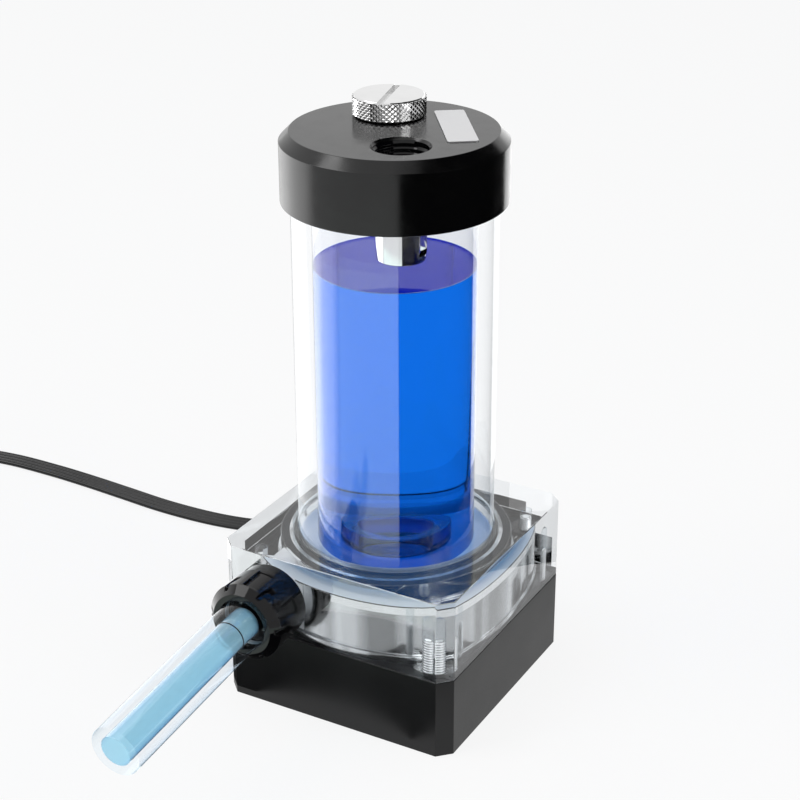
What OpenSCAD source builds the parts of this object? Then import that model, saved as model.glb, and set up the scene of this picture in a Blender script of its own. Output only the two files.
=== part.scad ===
// Coolant pump with a cylindrical reservoir on top, a side outlet and a lead.
// Millimetres, +Z up, origin at the centre of the base's underside. The outlet faces -Y.

/* [Pump base] */
// Side of the square base and of the clear block
base_side = 65; // [64:0.5:90]
// Height of the black motor housing
housing_h = 21.3; // [21:0.1:24]
// Height of the clear block
block_h = 22.1; // [21.6:0.1:30]
// Flat across each vertical corner, measured along the side
corner_cut = 3.3; // [1:0.1:5]
// Corner screw to the two nearest sides
screw_inset = 7.5; // [6.6:0.1:7.6]
// Diameter of the corner screw's shank
screw_d = 3; // [2.5:0.1:3.2]
// How far the corner screw reaches into the clear block
screw_reach = 9; // [6:0.5:11]

/* [Motor] */
// Diameter of the stator
stator_d = 44; // [43:0.5:46]
// Height of the housing less that of the stator's laminations
stator_margin = 12.3; // [11.8:0.1:14]
// Number of stator teeth and coils
teeth = 6; // [4:1:7]
// Outer diameter of the separating cup that the rotor runs in
cup_d = 21.8; // [20.5:0.1:22]
// Wall of the separating cup
cup_wall = 1; // [0.8:0.1:1.2]
// Diameter of the fixed ceramic shaft
shaft_d = 3; // [2.5:0.1:3.5]
// Diameter of the round bottom cover
cover_d = 56; // [54:0.5:57]
// Thickness of the bottom cover
cover_t = 1.6; // [1.2:0.1:1.8]

/* [Impeller and volute] */
// Diameter of the impeller
impeller_d = 33; // [28:0.5:34]
// Height of the vanes
vane_h = 8; // [5:0.5:8.4]
// Thickness of a vane
vane_t = 1.2; // [0.8:0.1:1.6]
// Number of vanes
vanes = 7; // [4:1:9]
// Volute housing to the sides of the block
volute_inset = 3; // [2.5:0.1:3.2]
// Height of the volute housing
volute_h = 15.7; // [15.4:0.1:16]
// Diameter of the eccentric pump chamber
chamber_d = 39.4; // [38:0.1:40]
// Offset of the chamber's centre towards the outlet's side
chamber_shift = 1.5; // [1:0.1:2]
// Diameter of the outlet passage
passage_d = 8.4; // [6:0.1:8.6]
// Height of the outlet's axis above the motor housing
outlet_rise = 10.3; // [9.8:0.1:10.6]

/* [Reservoir] */
// Outer diameter of the reservoir tube
tube_od = 50; // [48:0.1:52]
// Wall of the reservoir tube
tube_wall = 5; // [3:0.1:6]
// Length of tube that shows between the block and the cap
tube_shows = 86.5; // [60:0.5:160]
// Depth of the tube's seat in the block
seat_depth = 4.2; // [3:0.1:4.6]
// Depth of coolant above the block's top
coolant_rise = 69.7; // [20:0.1:70]
// Outer diameter of the intake collar in the floor of the reservoir
intake_od = 20; // [18:0.1:24]
// Bore of the intake
intake_d = 13.7; // [10:0.1:14]
// How far the intake collar stands above the reservoir's floor
intake_rise = 5; // [2:0.1:10]

/* [Cap] */
// Cap's edge beyond the tube all round
cap_overlap = 2.35; // [2.1:0.05:5]
// Height of the cap
cap_h = 17.15; // [15:0.05:24]
// Height and width of the bevel round the cap's top
cap_bevel = 2.45; // [0.5:0.05:2.6]
// Depth of the tube's socket in the cap
socket_depth = 8.2; // [7:0.1:9]
// Turn of the line through both ports about the tube's axis, in degrees
port_turn = -54.6; // [-180:0.1:180]
// Gap between the return sleeve and the wall of the tube
return_gap = 0.1; // [0.1:0.1:1.5]
// Distance between the middles of the two ports
port_pitch = 25.7; // [25:0.1:26.4]
// Diameter of both G1/4 ports
port_d = 13.16; // [11.5:0.01:13.2]
// Outer diameter of the return sleeve
sleeve_d = 12; // [11:0.1:12.1]
// How far the return sleeve hangs below the cap's edge
sleeve_drop = 9.9; // [4:0.1:12]
// Diameter of the filling plug's head
plug_d = 18; // [16.8:0.1:20]
// Height of the filling plug's head
plug_h = 4.95; // [3.5:0.05:8]
// Length of the plug's threaded shank
shank_h = 8; // [5:0.1:8.5]
// Length of the label plate
label_l = 25.6; // [10:0.1:28]
// Width of the label plate
label_w = 7.3; // [4:0.1:8]
// Label plate to the line through both ports
label_offset = 14.5; // [13.8:0.1:15]
// Thickness of the label plate
label_t = 0.3; // [0.2:0.05:0.6]

/* [Outlet] */
// Outlet axis to the middle of the base, towards -X
outlet_side = 17; // [15:0.1:17.2]
// Diameter of the fitting's shoulder
shoulder_d = 19.3; // [17.5:0.1:20]
// Length of the fitting's shoulder
shoulder_l = 4; // [3:0.1:6]
// Diameter of the compression collar
collar_d = 20.4; // [19.4:0.1:21]
// Length of the compression collar
collar_l = 10.15; // [9:0.05:13]
// Number of grip grooves round the collar
grooves = 6; // [4:1:8]
// Outer diameter of the outlet tube
hose_od = 13; // [12:0.1:13.2]
// Bore of the outlet tube
hose_id = 8; // [7:0.1:9]
// Length of the outlet tube beyond its bend
hose_straight = 50; // [20:1:80]
// Downward bend of the outlet tube, in degrees
hose_bend = 6; // [2:0.5:12]

/* [Lead] */
// Width of the flat four-core lead
lead_w = 6.4; // [5:0.1:6.6]
// Thickness of the lead
lead_t = 1.6; // [1.2:0.1:1.8]
// Place of the lead's slot along the back, from the middle
lead_x = -14; // [-16:0.5:-12]
// Height of the lead's slot above the floor
lead_z = 6; // [5.5:0.1:6.5]

/* [Hidden] */
$fn = 96;
slip = 0.05;        // between pieces that seat in each other
running = 0.08;     // radial gap of a piece that turns
o_ring = 1.5;       // section of the sealing rings
volute_d = base_side - 2 * volute_inset;
stator_h = housing_h - stator_margin;
block_z = housing_h;
block_top = block_z + block_h;
volute_top = block_z + volute_h;
floor_z = block_top - seat_depth;            // floor of the reservoir
tube_id = tube_od - 2 * tube_wall;
cap_d = tube_od + 2 * cap_overlap;
return_offset = tube_id / 2 - sleeve_d / 2 - return_gap;
fill_offset = port_pitch - return_offset;
cap_z = block_top + tube_shows;
cap_top = cap_z + cap_h;
ceiling_z = cap_z + socket_depth;            // inside face of the cap's disc
coolant_top = block_top + coolant_rise;
front_y = -base_side / 2;
outlet_z = block_z + outlet_rise;
outlet_x = -outlet_side;
screw_xy = base_side / 2 - screw_inset;
screw_head_d = screw_d + 2.5;
head_h = 3;
head_z = 0.3;
cover_z = 0.2;
cover_top = cover_z + cover_t;
board_z = cover_top + 1.4;
board_t = 1.1;
board_d = stator_d - 2;
can_t = 1.95;                                // flange of the separating cup
can_d = volute_d - 3.2;
web_z = housing_h - can_t - 2;               // ceiling of the stator's pocket
coil_h = stator_h + 3.2;
coil_z = web_z - 0.3 - coil_h;
stator_z = coil_z + (coil_h - stator_h) / 2;
cup_r = cup_d / 2;
cup_in = cup_r - cup_wall;
cup_z = board_z + board_t + 0.9;             // underside of the cup
cup_floor = cup_z + 1.2;
boss_top = cup_floor + 1.2;
washer_top = boss_top + 0.85;
rotor_z = washer_top + 0.15;
magnet_d = 2 * (cup_in - 0.7);
stem_d = magnet_d - 4.4;
plate_z = block_z + 2.9;                     // underside of the impeller's disc
plate_t = 1.4;
vane_z = plate_z + plate_t;
bush_od = shaft_d + 5;
shaft_top = vane_z + 4;
cover_screw_r = (stator_d + cover_d) / 4;
intake_spigot_d = intake_d + 2.3;
plug_gap = 0.25;                             // plug's head above the cap
plug_seal_t = 1.4;
plug_seal_r = plug_d / 2 - 1.4;
nose_d = shoulder_d - 2.9;
nose_l = 5.5;
barb_d = hose_id - 2 * slip;
mouth_d = hose_od + 0.16;
hose_start = shoulder_l + nose_l + 0.1;
collar_start = shoulder_l + 0.15;
collar_end = collar_start + collar_l;
bend_start = collar_end + 1.3;
lead_hole_w = lead_w + 2.2;
lead_hole_h = lead_t + 2;
// The lead's middle line, from its slot to its connector
lead_route = [
    [-14, 24, 6], [-14, 33, 6], [-14, 39, 5.5], [-15, 45, 4], [-18, 51, 2.5], [-23, 55.5, 1.5],
    [-30, 58, 1], [-38, 57.5, 0.9], [-47, 54.5, 0.9], [-57, 50, 0.9], [-67, 45.5, 0.9],
    [-78, 42, 0.9], [-90, 40.3, 0.9], [-105, 40, 0.9], [-120, 41, 0.9], [-135, 42, 0.9],
    [-150, 42.5, 0.9], [-167, 42, 0.9], [-182, 39, 0.9], [-196, 32, 0.9], [-206, 20, 0.9],
    [-209, 5, 0.9], [-205, -10, 0.9], [-195, -22, 0.9], [-180, -27, 0.9], [-165, -23, 0.9],
    [-155, -12, 0.9], [-152, 1, 0.9], [-156, 12, 0.9], [-164, 19, 1.2], [-171, 21, 2.2],
    [-178, 21, 2.7], [-184, 21, 2.7]
];
plug_size = [13, 10.6, 5.4];                 // the lead's connector

// --- shared shapes ---

module square_slab(side, cut, h) {
    a = side / 2;
    b = a - cut;
    linear_extrude(h)
        polygon([[b, -a], [a, -b], [a, b], [b, a], [-b, a], [-a, b], [-a, -b], [-b, -a]]);
}

module ring(od, id, h) {
    difference() {
        cylinder(d = od, h = h);
        translate([0, 0, -1]) cylinder(d = id, h = h + 2);
    }
}

module o_ring_at(mid_d, section, z) {
    translate([0, 0, z]) rotate_extrude() translate([mid_d / 2, 0]) circle(d = section, $fn = 32);
}

module at_corners() {
    for (sx = [-1, 1], sy = [-1, 1]) translate([sx * screw_xy, sy * screw_xy, 0]) children();
}

module at_cover_screws() {
    for (i = [0:3]) rotate([0, 0, 90 * i]) translate([cover_screw_r, 0, 0]) children();
}

// The outlet's own frame: its +Z runs out of the front face
module at_outlet() {
    translate([outlet_x, front_y, outlet_z]) rotate([90, 0, 0]) children();
}

// The cap's own frame: its +X runs through the return port
module at_port(offset, z) {
    rotate([0, 0, port_turn]) translate([offset, 0, z]) children();
}

// --- pump base ---

module motor_housing() {
    color([0.06, 0.06, 0.065]) difference() {
        square_slab(base_side, corner_cut, housing_h);
        translate([0, 0, -1]) cylinder(d = cover_d + 2 * slip + 0.2, h = cover_top + 1);
        translate([0, 0, cover_top - 1]) cylinder(d = stator_d + 2 * slip, h = web_z - cover_top + 1);
        translate([0, 0, web_z - 1]) cylinder(d = cup_d + 0.4, h = housing_h - web_z + 2);
        translate([0, 0, housing_h - can_t]) cylinder(d = can_d + 2 * slip, h = can_t + 1);
        at_corners() {
            translate([0, 0, -1]) cylinder(d = screw_d + 0.5, h = housing_h + 2, $fn = 48);
            translate([0, 0, -1]) cylinder(d = screw_head_d + 0.7, h = head_z + head_h + 1, $fn = 48);
        }
        at_cover_screws() cylinder(d = 2, h = cover_top + 5.2, $fn = 32);
        translate([lead_x - lead_hole_w / 2, stator_d / 2 - 8, lead_z - lead_hole_h / 2])
            cube([lead_hole_w, base_side / 2 - stator_d / 2 + 9, lead_hole_h]);
    }
}

module bottom_cover() {
    color([0.08, 0.08, 0.085]) union() {
        difference() {
            translate([0, 0, cover_z]) cylinder(d = cover_d, h = cover_t);
            at_cover_screws() {
                translate([0, 0, cover_z - 1]) cylinder(d = 2.3, h = cover_t + 2, $fn = 32);
                translate([0, 0, cover_z - 0.01]) cylinder(d1 = 4.3, d2 = 2.3, h = 1, $fn = 32);
            }
        }
        for (i = [0:2]) rotate([0, 0, 120 * i + 30]) translate([board_d / 2 - 3, 0, cover_top])
            cylinder(d = 3.4, h = board_z - cover_top, $fn = 32);
    }
}

module cover_screws() {
    color("silver") at_cover_screws() difference() {
        union() {
            translate([0, 0, cover_z]) cylinder(d1 = 4.1, d2 = 1.9, h = 1.05, $fn = 32);
            translate([0, 0, cover_z + 1]) cylinder(d = 1.9, h = 5.2, $fn = 32);
        }
        translate([0, 0, cover_z - 0.1]) cylinder(d = 1.5, h = 0.8, $fn = 6);
    }
}

module circuit_board() {
    color([0.05, 0.3, 0.16]) translate([0, 0, board_z]) difference() {
        cylinder(d = board_d, h = board_t);
        for (i = [0:2]) rotate([0, 0, 120 * i + 90]) translate([board_d / 2 - 3, 0, -1])
            cylinder(d = 2.2, h = board_t + 2, $fn = 24);
    }
}

// Driver chip, sensor and small parts under the board
module board_parts() {
    color([0.12, 0.12, 0.12]) {
        translate([-2.6, -2.6, board_z - 1]) cube([5.2, 5.2, 1]);
        translate([8, -1.5, board_z - 1]) cube([3, 3, 1]);
        for (i = [0:4]) translate([-12 + 4 * i, 9, board_z - 0.7]) cube([2, 1.2, 0.7]);
        for (i = [0:3]) translate([-14, -8 + 3 * i, board_z - 0.7]) cube([1.2, 2, 0.7]);
    }
}

module stator_core() {
    yoke_id = stator_d - 7;
    bore = cup_d + 0.8;
    color([0.55, 0.56, 0.58]) translate([0, 0, stator_z]) {
        ring(stator_d, yoke_id, stator_h);
        for (i = [0:teeth - 1]) rotate([0, 0, 360 / teeth * i]) difference() {
            union() {
                translate([bore / 2, -2.2, 0]) cube([(yoke_id - bore) / 2 + 0.4, 4.4, stator_h]);
                intersection() {
                    cylinder(d = bore + 2.4, h = stator_h);
                    translate([0, -0.2 * bore, 0]) cube([bore, 0.4 * bore, stator_h]);
                }
            }
            translate([0, 0, -1]) cylinder(d = bore, h = stator_h + 2);
        }
    }
}

module stator_coils() {
    bore = cup_d + 0.8;
    coil_l = (stator_d - 7 - bore) / 2 - 1.9;
    color([0.72, 0.42, 0.2]) for (i = [0:teeth - 1]) rotate([0, 0, 360 / teeth * i])
        translate([bore / 2 + 1.5, 0, 0]) difference() {
            translate([0, -3.9, coil_z]) cube([coil_l, 7.8, coil_h]);
            translate([-1, -2.3, stator_z - 0.1]) cube([coil_l + 2, 4.6, stator_h + 0.2]);
        }
}

module separating_cup() {
    color([0.1, 0.1, 0.11]) difference() {
        union() {
            translate([0, 0, housing_h - can_t]) cylinder(d = can_d, h = can_t);
            translate([0, 0, cup_z]) cylinder(d = cup_d, h = housing_h - cup_z);
        }
        difference() {
            translate([0, 0, cup_floor]) cylinder(r = cup_in, h = housing_h);
            translate([0, 0, cup_floor - 1]) cylinder(d = shaft_d + 3.4, h = boss_top - cup_floor + 1);
        }
        translate([0, 0, cup_z + 0.6]) cylinder(d = shaft_d + 2 * slip, h = housing_h, $fn = 48);
    }
}

module cup_seal() {
    color([0.15, 0.15, 0.15]) o_ring_at(volute_d - 8, o_ring, block_z + o_ring / 2);
}

module rotor_shaft() {
    color("white") translate([0, 0, cup_z + 0.65]) cylinder(d = shaft_d, h = shaft_top - cup_z - 0.65, $fn = 48);
}

module thrust_washer() {
    color("ivory") translate([0, 0, boss_top]) ring(bush_od + 0.4, shaft_d + 0.2, washer_top - boss_top);
}

// --- rotor ---

// One vane is an arc swept back from the hub, cut to the impeller's disc
module vane() {
    reach = impeller_d / 2;
    intersection() {
        translate([0.56 * reach, 0, vane_z - 0.3]) ring(1.28 * reach, 1.28 * reach - 2 * vane_t, vane_h + 0.3);
        translate([0, 0, vane_z - 0.5]) ring(impeller_d - 0.2, bush_od + 2, vane_h + 1);
        translate([-reach, 0, vane_z - 0.5]) cube([2 * reach, reach, vane_h + 1]);
    }
}

module impeller() {
    color([0.16, 0.17, 0.19]) difference() {
        union() {
            translate([0, 0, rotor_z]) cylinder(d = stem_d, h = plate_z - rotor_z + 0.5);
            translate([0, 0, plate_z]) cylinder(d = impeller_d, h = plate_t);
            translate([0, 0, vane_z - 0.2]) cylinder(d = bush_od + 3, h = 4.7);
            for (i = [0:vanes - 1]) rotate([0, 0, 360 / vanes * i]) vane();
        }
        translate([0, 0, rotor_z - 1]) cylinder(d = bush_od + 2 * slip, h = vane_z + 6 - rotor_z, $fn = 48);
    }
}

module rotor_magnet() {
    color([0.3, 0.3, 0.32]) translate([0, 0, rotor_z + 0.4])
        ring(magnet_d, stem_d + 2 * slip, plate_z - rotor_z - 5);
}

module rotor_bush() {
    color([0.85, 0.85, 0.8]) translate([0, 0, rotor_z])
        ring(bush_od, shaft_d + 2 * slip, vane_z + 2.5 - rotor_z);
}

// --- volute and clear block ---

module volute_housing() {
    color([0.75, 0.76, 0.78]) difference() {
        union() {
            translate([0, 0, block_z]) cylinder(d = volute_d, h = volute_h);
            translate([0, 0, block_z]) cylinder(d = volute_d + 2, h = 2);
        }
        translate([-chamber_shift, 0, block_z - 1]) cylinder(d = chamber_d, h = volute_h - 0.8);
        translate([0, 0, block_z]) cylinder(d = intake_spigot_d + 0.2, h = volute_h + 1);
        translate([outlet_x, 0, outlet_z]) rotate([90, 0, 0]) cylinder(d = passage_d, h = volute_d);
        translate([0, 0, block_z - 1])
            ring(volute_d - 8 + o_ring + 2 * slip, volute_d - 8 - o_ring - 2 * slip, o_ring + slip + 1);
        translate([0, 0, volute_top - o_ring + 0.05])
            ring(volute_d - 8 + o_ring + 2 * slip, volute_d - 8 - o_ring - 2 * slip, o_ring + 1);
    }
}

module volute_seal() {
    color([0.15, 0.15, 0.15]) o_ring_at(volute_d - 8, o_ring, volute_top - o_ring / 2 + 0.08);
}

module clear_block() {
    color([0.9, 0.95, 1, 0.35]) difference() {
        translate([0, 0, block_z]) square_slab(base_side, corner_cut, block_h);
        translate([0, 0, block_z - 1]) cylinder(d = volute_d + 0.4, h = volute_h + 1.1);
        translate([0, 0, block_z - 1]) cylinder(d = volute_d + 2.4, h = 3.2);
        translate([0, 0, block_z]) cylinder(d = intake_spigot_d + 2 * slip, h = block_h + 1);
        translate([0, 0, floor_z]) cylinder(d = tube_od + 2 * slip, h = block_h);
        translate([0, 0, block_top - o_ring]) cylinder(d = tube_od + 2 * o_ring + 0.2, h = block_h);
        at_corners() {
            translate([0, 0, block_z - 1]) cylinder(d = screw_d + 0.2, h = screw_reach + 6.7, $fn = 48);
            translate([0, 0, block_z + screw_reach + 5.69]) cylinder(d1 = screw_d + 0.2, d2 = 0.6, h = 1.2, $fn = 48);
            translate([0, 0, block_z - 1]) cylinder(d = screw_d + 5.4, h = 1.8, $fn = 48);
        }
        at_outlet() {
            translate([0, 0, -4.2]) cylinder(d = port_d, h = 6);
            translate([0, 0, -base_side / 2]) cylinder(d = passage_d, h = base_side / 2 + 1, $fn = 48);
        }
    }
}

module corner_screws() {
    color("silver") at_corners() difference() {
        union() {
            translate([0, 0, head_z]) cylinder(d = screw_head_d, h = head_h, $fn = 48);
            translate([0, 0, head_z]) cylinder(d = screw_d, h = block_z + screw_reach - head_z, $fn = 48);
        }
        translate([0, 0, head_z - 1]) cylinder(d = screw_d * 0.9, h = 2.6, $fn = 6);
    }
}

module intake_collar() {
    color([0.2, 0.45, 0.9, 0.6]) difference() {
        union() {
            translate([0, 0, floor_z]) cylinder(d = intake_od, h = intake_rise);
            translate([0, 0, volute_top - 1.7]) cylinder(d = intake_spigot_d, h = floor_z - volute_top + 1.8);
        }
        translate([0, 0, volute_top - 3]) cylinder(d = intake_d, h = block_h);
    }
}

// --- reservoir ---

module reservoir_tube() {
    color([0.92, 0.96, 1, 0.3]) translate([0, 0, floor_z + 0.1])
        ring(tube_od, tube_id, ceiling_z - floor_z - 0.2);
}

module lower_tube_seal() {
    color([0.9, 0.9, 0.9, 0.6]) o_ring_at(tube_od + o_ring + 0.06, o_ring - 0.04, block_top - o_ring / 2);
}

module coolant() {
    color([0.05, 0.35, 0.95, 0.8]) difference() {
        union() {
            translate([0, 0, floor_z]) cylinder(d = tube_id - 2 * slip, h = coolant_top - floor_z);
            translate([0, 0, volute_top]) cylinder(d = intake_d - 2 * slip, h = seat_depth + block_h);
        }
        translate([0, 0, volute_top - 1])
            ring(intake_od + 2 * slip, intake_d - 2 * slip, floor_z + intake_rise - volute_top + 1);
    }
}

module upper_tube_seal() {
    color([0.12, 0.12, 0.12]) o_ring_at(tube_od + 1.1, 1, cap_z + socket_depth / 2);
}

// --- cap ---

module cap() {
    color([0.08, 0.08, 0.085]) difference() {
        union() {
            translate([0, 0, cap_z]) cylinder(d = cap_d, h = cap_h - cap_bevel);
            translate([0, 0, cap_top - cap_bevel])
                cylinder(d1 = cap_d, d2 = cap_d - 2 * cap_bevel, h = cap_bevel);
        }
        translate([0, 0, cap_z - 1]) cylinder(d = tube_od + 2 * slip, h = socket_depth + 1);
        translate([0, 0, cap_z + socket_depth / 2 - 0.55]) cylinder(d = tube_od + 2.2, h = 1.1);
        at_port(-fill_offset, cap_z) cylinder(d = port_d, h = cap_h + 1);
        at_port(return_offset, cap_z) cylinder(d = sleeve_d - 0.4, h = cap_h);
        at_port(return_offset, ceiling_z + 2.5) cylinder(d = port_d, h = cap_h);
        for (offset = [return_offset, -fill_offset]) at_port(offset, cap_top - 0.4)
            cylinder(d1 = port_d, d2 = port_d + 1.2, h = 0.6);
    }
}

// Spigot in the cap, wider sleeve below it with a window in its side
module return_sleeve() {
    bottom_z = cap_z - sleeve_drop;
    color("silver") at_port(return_offset, 0) difference() {
        union() {
            translate([0, 0, bottom_z]) cylinder(d = sleeve_d, h = ceiling_z - bottom_z);
            translate([0, 0, bottom_z]) cylinder(d = sleeve_d - 0.5, h = ceiling_z + 2.4 - bottom_z);
        }
        translate([0, 0, bottom_z - 1]) cylinder(d = sleeve_d - 3, h = ceiling_z + 5 - bottom_z);
        rotate([0, 0, 60]) translate([0, -2.2, bottom_z + 1.6]) cube([sleeve_d, 4.4, 6]);
    }
}

module label_plate() {
    corner = 0.8;
    color([0.88, 0.88, 0.89]) rotate([0, 0, port_turn]) translate([0, label_offset, cap_top])
        linear_extrude(label_t) union() {
            square([label_l - 2 * corner, label_w], center = true);
            square([label_l, label_w - 2 * corner], center = true);
            for (sx = [-1, 1], sy = [-1, 1])
                translate([sx * (label_l / 2 - corner), sy * (label_w / 2 - corner)]) circle(r = corner, $fn = 32);
        }
}

module fill_plug() {
    ridges = 40;
    head_z = cap_top + plug_gap;
    color("gainsboro") at_port(-fill_offset, 0) difference() {
        union() {
            translate([0, 0, head_z]) linear_extrude(plug_h)
                polygon([for (i = [0:2 * ridges - 1])
                    let (r = plug_d / 2 - 0.45 * (i % 2), a = 180 / ridges * i) [r * cos(a), r * sin(a)]]);
            translate([0, 0, cap_top - shank_h]) cylinder(d = port_d - 2 * running, h = shank_h + plug_gap + 1);
        }
        translate([0, 0, head_z - 1]) ring(2 * plug_seal_r + plug_seal_t + 0.2, 2 * plug_seal_r - plug_seal_t - 0.2, plug_seal_t + 1);
        rotate([0, 0, 105 - port_turn]) translate([-plug_d, -0.8, head_z + plug_h - 1.5]) cube([2 * plug_d, 1.6, 3]);
    }
}

module fill_plug_seal() {
    color([0.1, 0.1, 0.1]) at_port(-fill_offset, 0)
        o_ring_at(2 * plug_seal_r, plug_seal_t, cap_top + plug_seal_t / 2 + 0.05);
}

// --- outlet ---

module outlet_fitting() {
    color([0.07, 0.07, 0.08]) at_outlet() difference() {
        union() {
            translate([0, 0, -4]) cylinder(d = port_d - 2 * running, h = 5, $fn = 64);
            cylinder(d = shoulder_d, h = shoulder_l);
            cylinder(d = nose_d, h = shoulder_l + nose_l);
            cylinder(d = barb_d, h = shoulder_l + nose_l + 3.5, $fn = 64);
        }
        translate([0, 0, -5]) cylinder(d = hose_id - 2.2, h = shoulder_l + nose_l + 10, $fn = 64);
        translate([0, 0, -1]) ring(port_d + 3.6, port_d + 0.4, 2.25);
    }
}

module fitting_seal() {
    color([0.12, 0.12, 0.12]) at_outlet() o_ring_at(port_d + 2, 1.2, 0.6);
}

// Grip grooves reach to the seam, and a wedge between two grooves bites the front bevel
module compression_collar() {
    bevel = 2;
    color([0.06, 0.06, 0.07]) at_outlet() difference() {
        union() {
            translate([0, 0, collar_start]) cylinder(d = collar_d, h = collar_l - bevel);
            translate([0, 0, collar_end - bevel]) cylinder(d1 = collar_d, d2 = collar_d - 2 * bevel, h = bevel);
        }
        translate([0, 0, collar_start - 1]) cylinder(d = nose_d + 2 * running, h = nose_l + 1.2);
        translate([0, 0, collar_start - 1]) cylinder(d = nose_d - 0.3, h = nose_l + 3.2);
        cylinder(d = mouth_d, h = 2 * collar_end);
        for (i = [0:grooves - 1]) rotate([0, 0, 360 / grooves * (i + 0.35)]) {
            translate([collar_d / 2 - 0.8, -2.3, collar_start - 1]) cube([2, 4.6, collar_l - bevel - 0.4]);
            rotate([0, 0, 180 / grooves]) translate([collar_d / 2 - 1.1, 0, collar_end - bevel - 4.2])
                rotate([0, 90, 0]) linear_extrude(3) polygon([[0, -0.4], [0, 1.7], [-5.5, 2.6], [-5.5, 1.2]]);
        }
    }
}

module collar_slip_ring() {
    color([0.85, 0.85, 0.82]) at_outlet() translate([0, 0, hose_start + 0.35])
        ring(nose_d - 0.9, mouth_d, 1.5);
}

// A round bar along the outlet's axis, mitred where it turns down clear of the collar
module bent_bar(d, from, extra = 0) {
    reach = 2 * hose_od;
    intersection() {
        translate([0, 0, from]) cylinder(d = d, h = bend_start - from + reach, $fn = 64);
        translate([0, 0, bend_start]) rotate([hose_bend / 2, 0, 0])
            translate([-reach, -reach, -bend_start - reach]) cube([2 * reach, 2 * reach, bend_start + reach]);
    }
    intersection() {
        translate([0, 0, bend_start]) rotate([hose_bend, 0, 0]) translate([0, 0, -reach])
            cylinder(d = d, h = hose_straight + reach + extra, $fn = 64);
        translate([0, 0, bend_start]) rotate([hose_bend / 2, 0, 0])
            translate([-reach, -reach, 0]) cube([2 * reach, 2 * reach, hose_straight + 2 * reach]);
    }
}

module outlet_tube() {
    color([0.9, 0.95, 1, 0.35]) at_outlet() difference() {
        bent_bar(hose_od, hose_start);
        bent_bar(hose_id, hose_start - 1, 1);
    }
}

module outlet_coolant() {
    color([0.5, 0.8, 0.95, 0.8]) at_outlet() bent_bar(hose_id - 2 * slip, shoulder_l + nose_l + 3.6);
}

// --- lead ---

module lead_grommet() {
    back_y = base_side / 2;
    color([0.1, 0.1, 0.1]) translate([lead_x, back_y, lead_z]) difference() {
        union() {
            translate([-lead_hole_w / 2 + slip, -5, -lead_hole_h / 2 + slip])
                cube([lead_hole_w - 2 * slip, 6, lead_hole_h - 2 * slip]);
            translate([-lead_hole_w / 2 - 1, 0, -lead_hole_h / 2 - 1])
                cube([lead_hole_w + 2, 1.2, lead_hole_h + 2]);
        }
        translate([-lead_w / 2 - 0.2, -6, -lead_t / 2 - 0.2]) cube([lead_w + 0.4, 9, lead_t + 0.4]);
    }
}

// Eight points round the lead's flat section at route point i
function lead_section(i) =
    let (
        last = len(lead_route) - 1,
        way = lead_route[min(i + 1, last)] - lead_route[max(i - 1, 0)],
        along = way / norm(way),
        side = cross(along, [0, 0, 1]) / norm(cross(along, [0, 0, 1])),
        up = cross(side, along),
        w = lead_w / 2,
        t = lead_t / 2
    )
    [for (p = [[w, -t / 2], [w, t / 2], [w - t / 2, t], [t / 2 - w, t],
               [-w, t / 2], [-w, -t / 2], [t / 2 - w, -t], [w - t / 2, -t]])
        lead_route[i] + side * p[0] + up * p[1]];

module pump_lead() {
    rings = len(lead_route);
    color([0.05, 0.05, 0.05]) polyhedron(
        points = [for (i = [0:rings - 1]) each lead_section(i)],
        faces = concat(
            [[for (k = [0:7]) k]],
            [for (i = [0:rings - 2], k = [0:7]) let (a = 8 * i + k, b = 8 * i + (k + 1) % 8) [b, a, a + 8, b + 8]],
            [[for (k = [7:-1:0]) 8 * (rings - 1) + k]]
        )
    );
}

module lead_connector() {
    tip = lead_route[len(lead_route) - 1];
    color([0.1, 0.1, 0.1]) translate([tip[0] - plug_size[0], tip[1] - plug_size[1] / 2, 0]) difference() {
        cube(plug_size);
        for (i = [0:3]) translate([-1, (i + 0.5) * plug_size[1] / 4 - 0.5, plug_size[2] / 2 - 0.5])
            cube([8, 1, 1]);
        translate([4, 2, plug_size[2] - 0.6]) cube([5, plug_size[1] - 4, 1]);
    }
}

motor_housing();
bottom_cover();
cover_screws();
circuit_board();
board_parts();
stator_core();
stator_coils();
separating_cup();
cup_seal();
rotor_shaft();
thrust_washer();
impeller();
rotor_magnet();
rotor_bush();
volute_housing();
volute_seal();
clear_block();
corner_screws();
intake_collar();
reservoir_tube();
lower_tube_seal();
coolant();
cap();
upper_tube_seal();
return_sleeve();
label_plate();
fill_plug();
fill_plug_seal();
outlet_fitting();
fitting_seal();
compression_collar();
collar_slip_ring();
outlet_tube();
outlet_coolant();
lead_grommet();
pump_lead();
lead_connector();
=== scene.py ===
import math

import bmesh
import bpy
from mathutils import Matrix, Vector


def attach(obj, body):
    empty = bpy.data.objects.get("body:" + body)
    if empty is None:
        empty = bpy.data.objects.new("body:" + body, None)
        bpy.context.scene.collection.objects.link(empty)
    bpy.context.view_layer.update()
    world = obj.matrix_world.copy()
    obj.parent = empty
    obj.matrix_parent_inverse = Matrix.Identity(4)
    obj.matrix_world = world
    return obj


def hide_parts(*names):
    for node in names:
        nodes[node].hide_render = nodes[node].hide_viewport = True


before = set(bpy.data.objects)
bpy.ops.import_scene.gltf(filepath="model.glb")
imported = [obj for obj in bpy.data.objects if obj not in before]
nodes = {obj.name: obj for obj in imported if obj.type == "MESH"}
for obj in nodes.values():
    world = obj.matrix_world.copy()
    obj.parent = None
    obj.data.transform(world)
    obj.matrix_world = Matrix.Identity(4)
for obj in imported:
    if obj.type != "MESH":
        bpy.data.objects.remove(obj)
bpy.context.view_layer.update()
mm = 0.001
print("packed model loaded:", len(nodes), "nodes")

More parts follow.
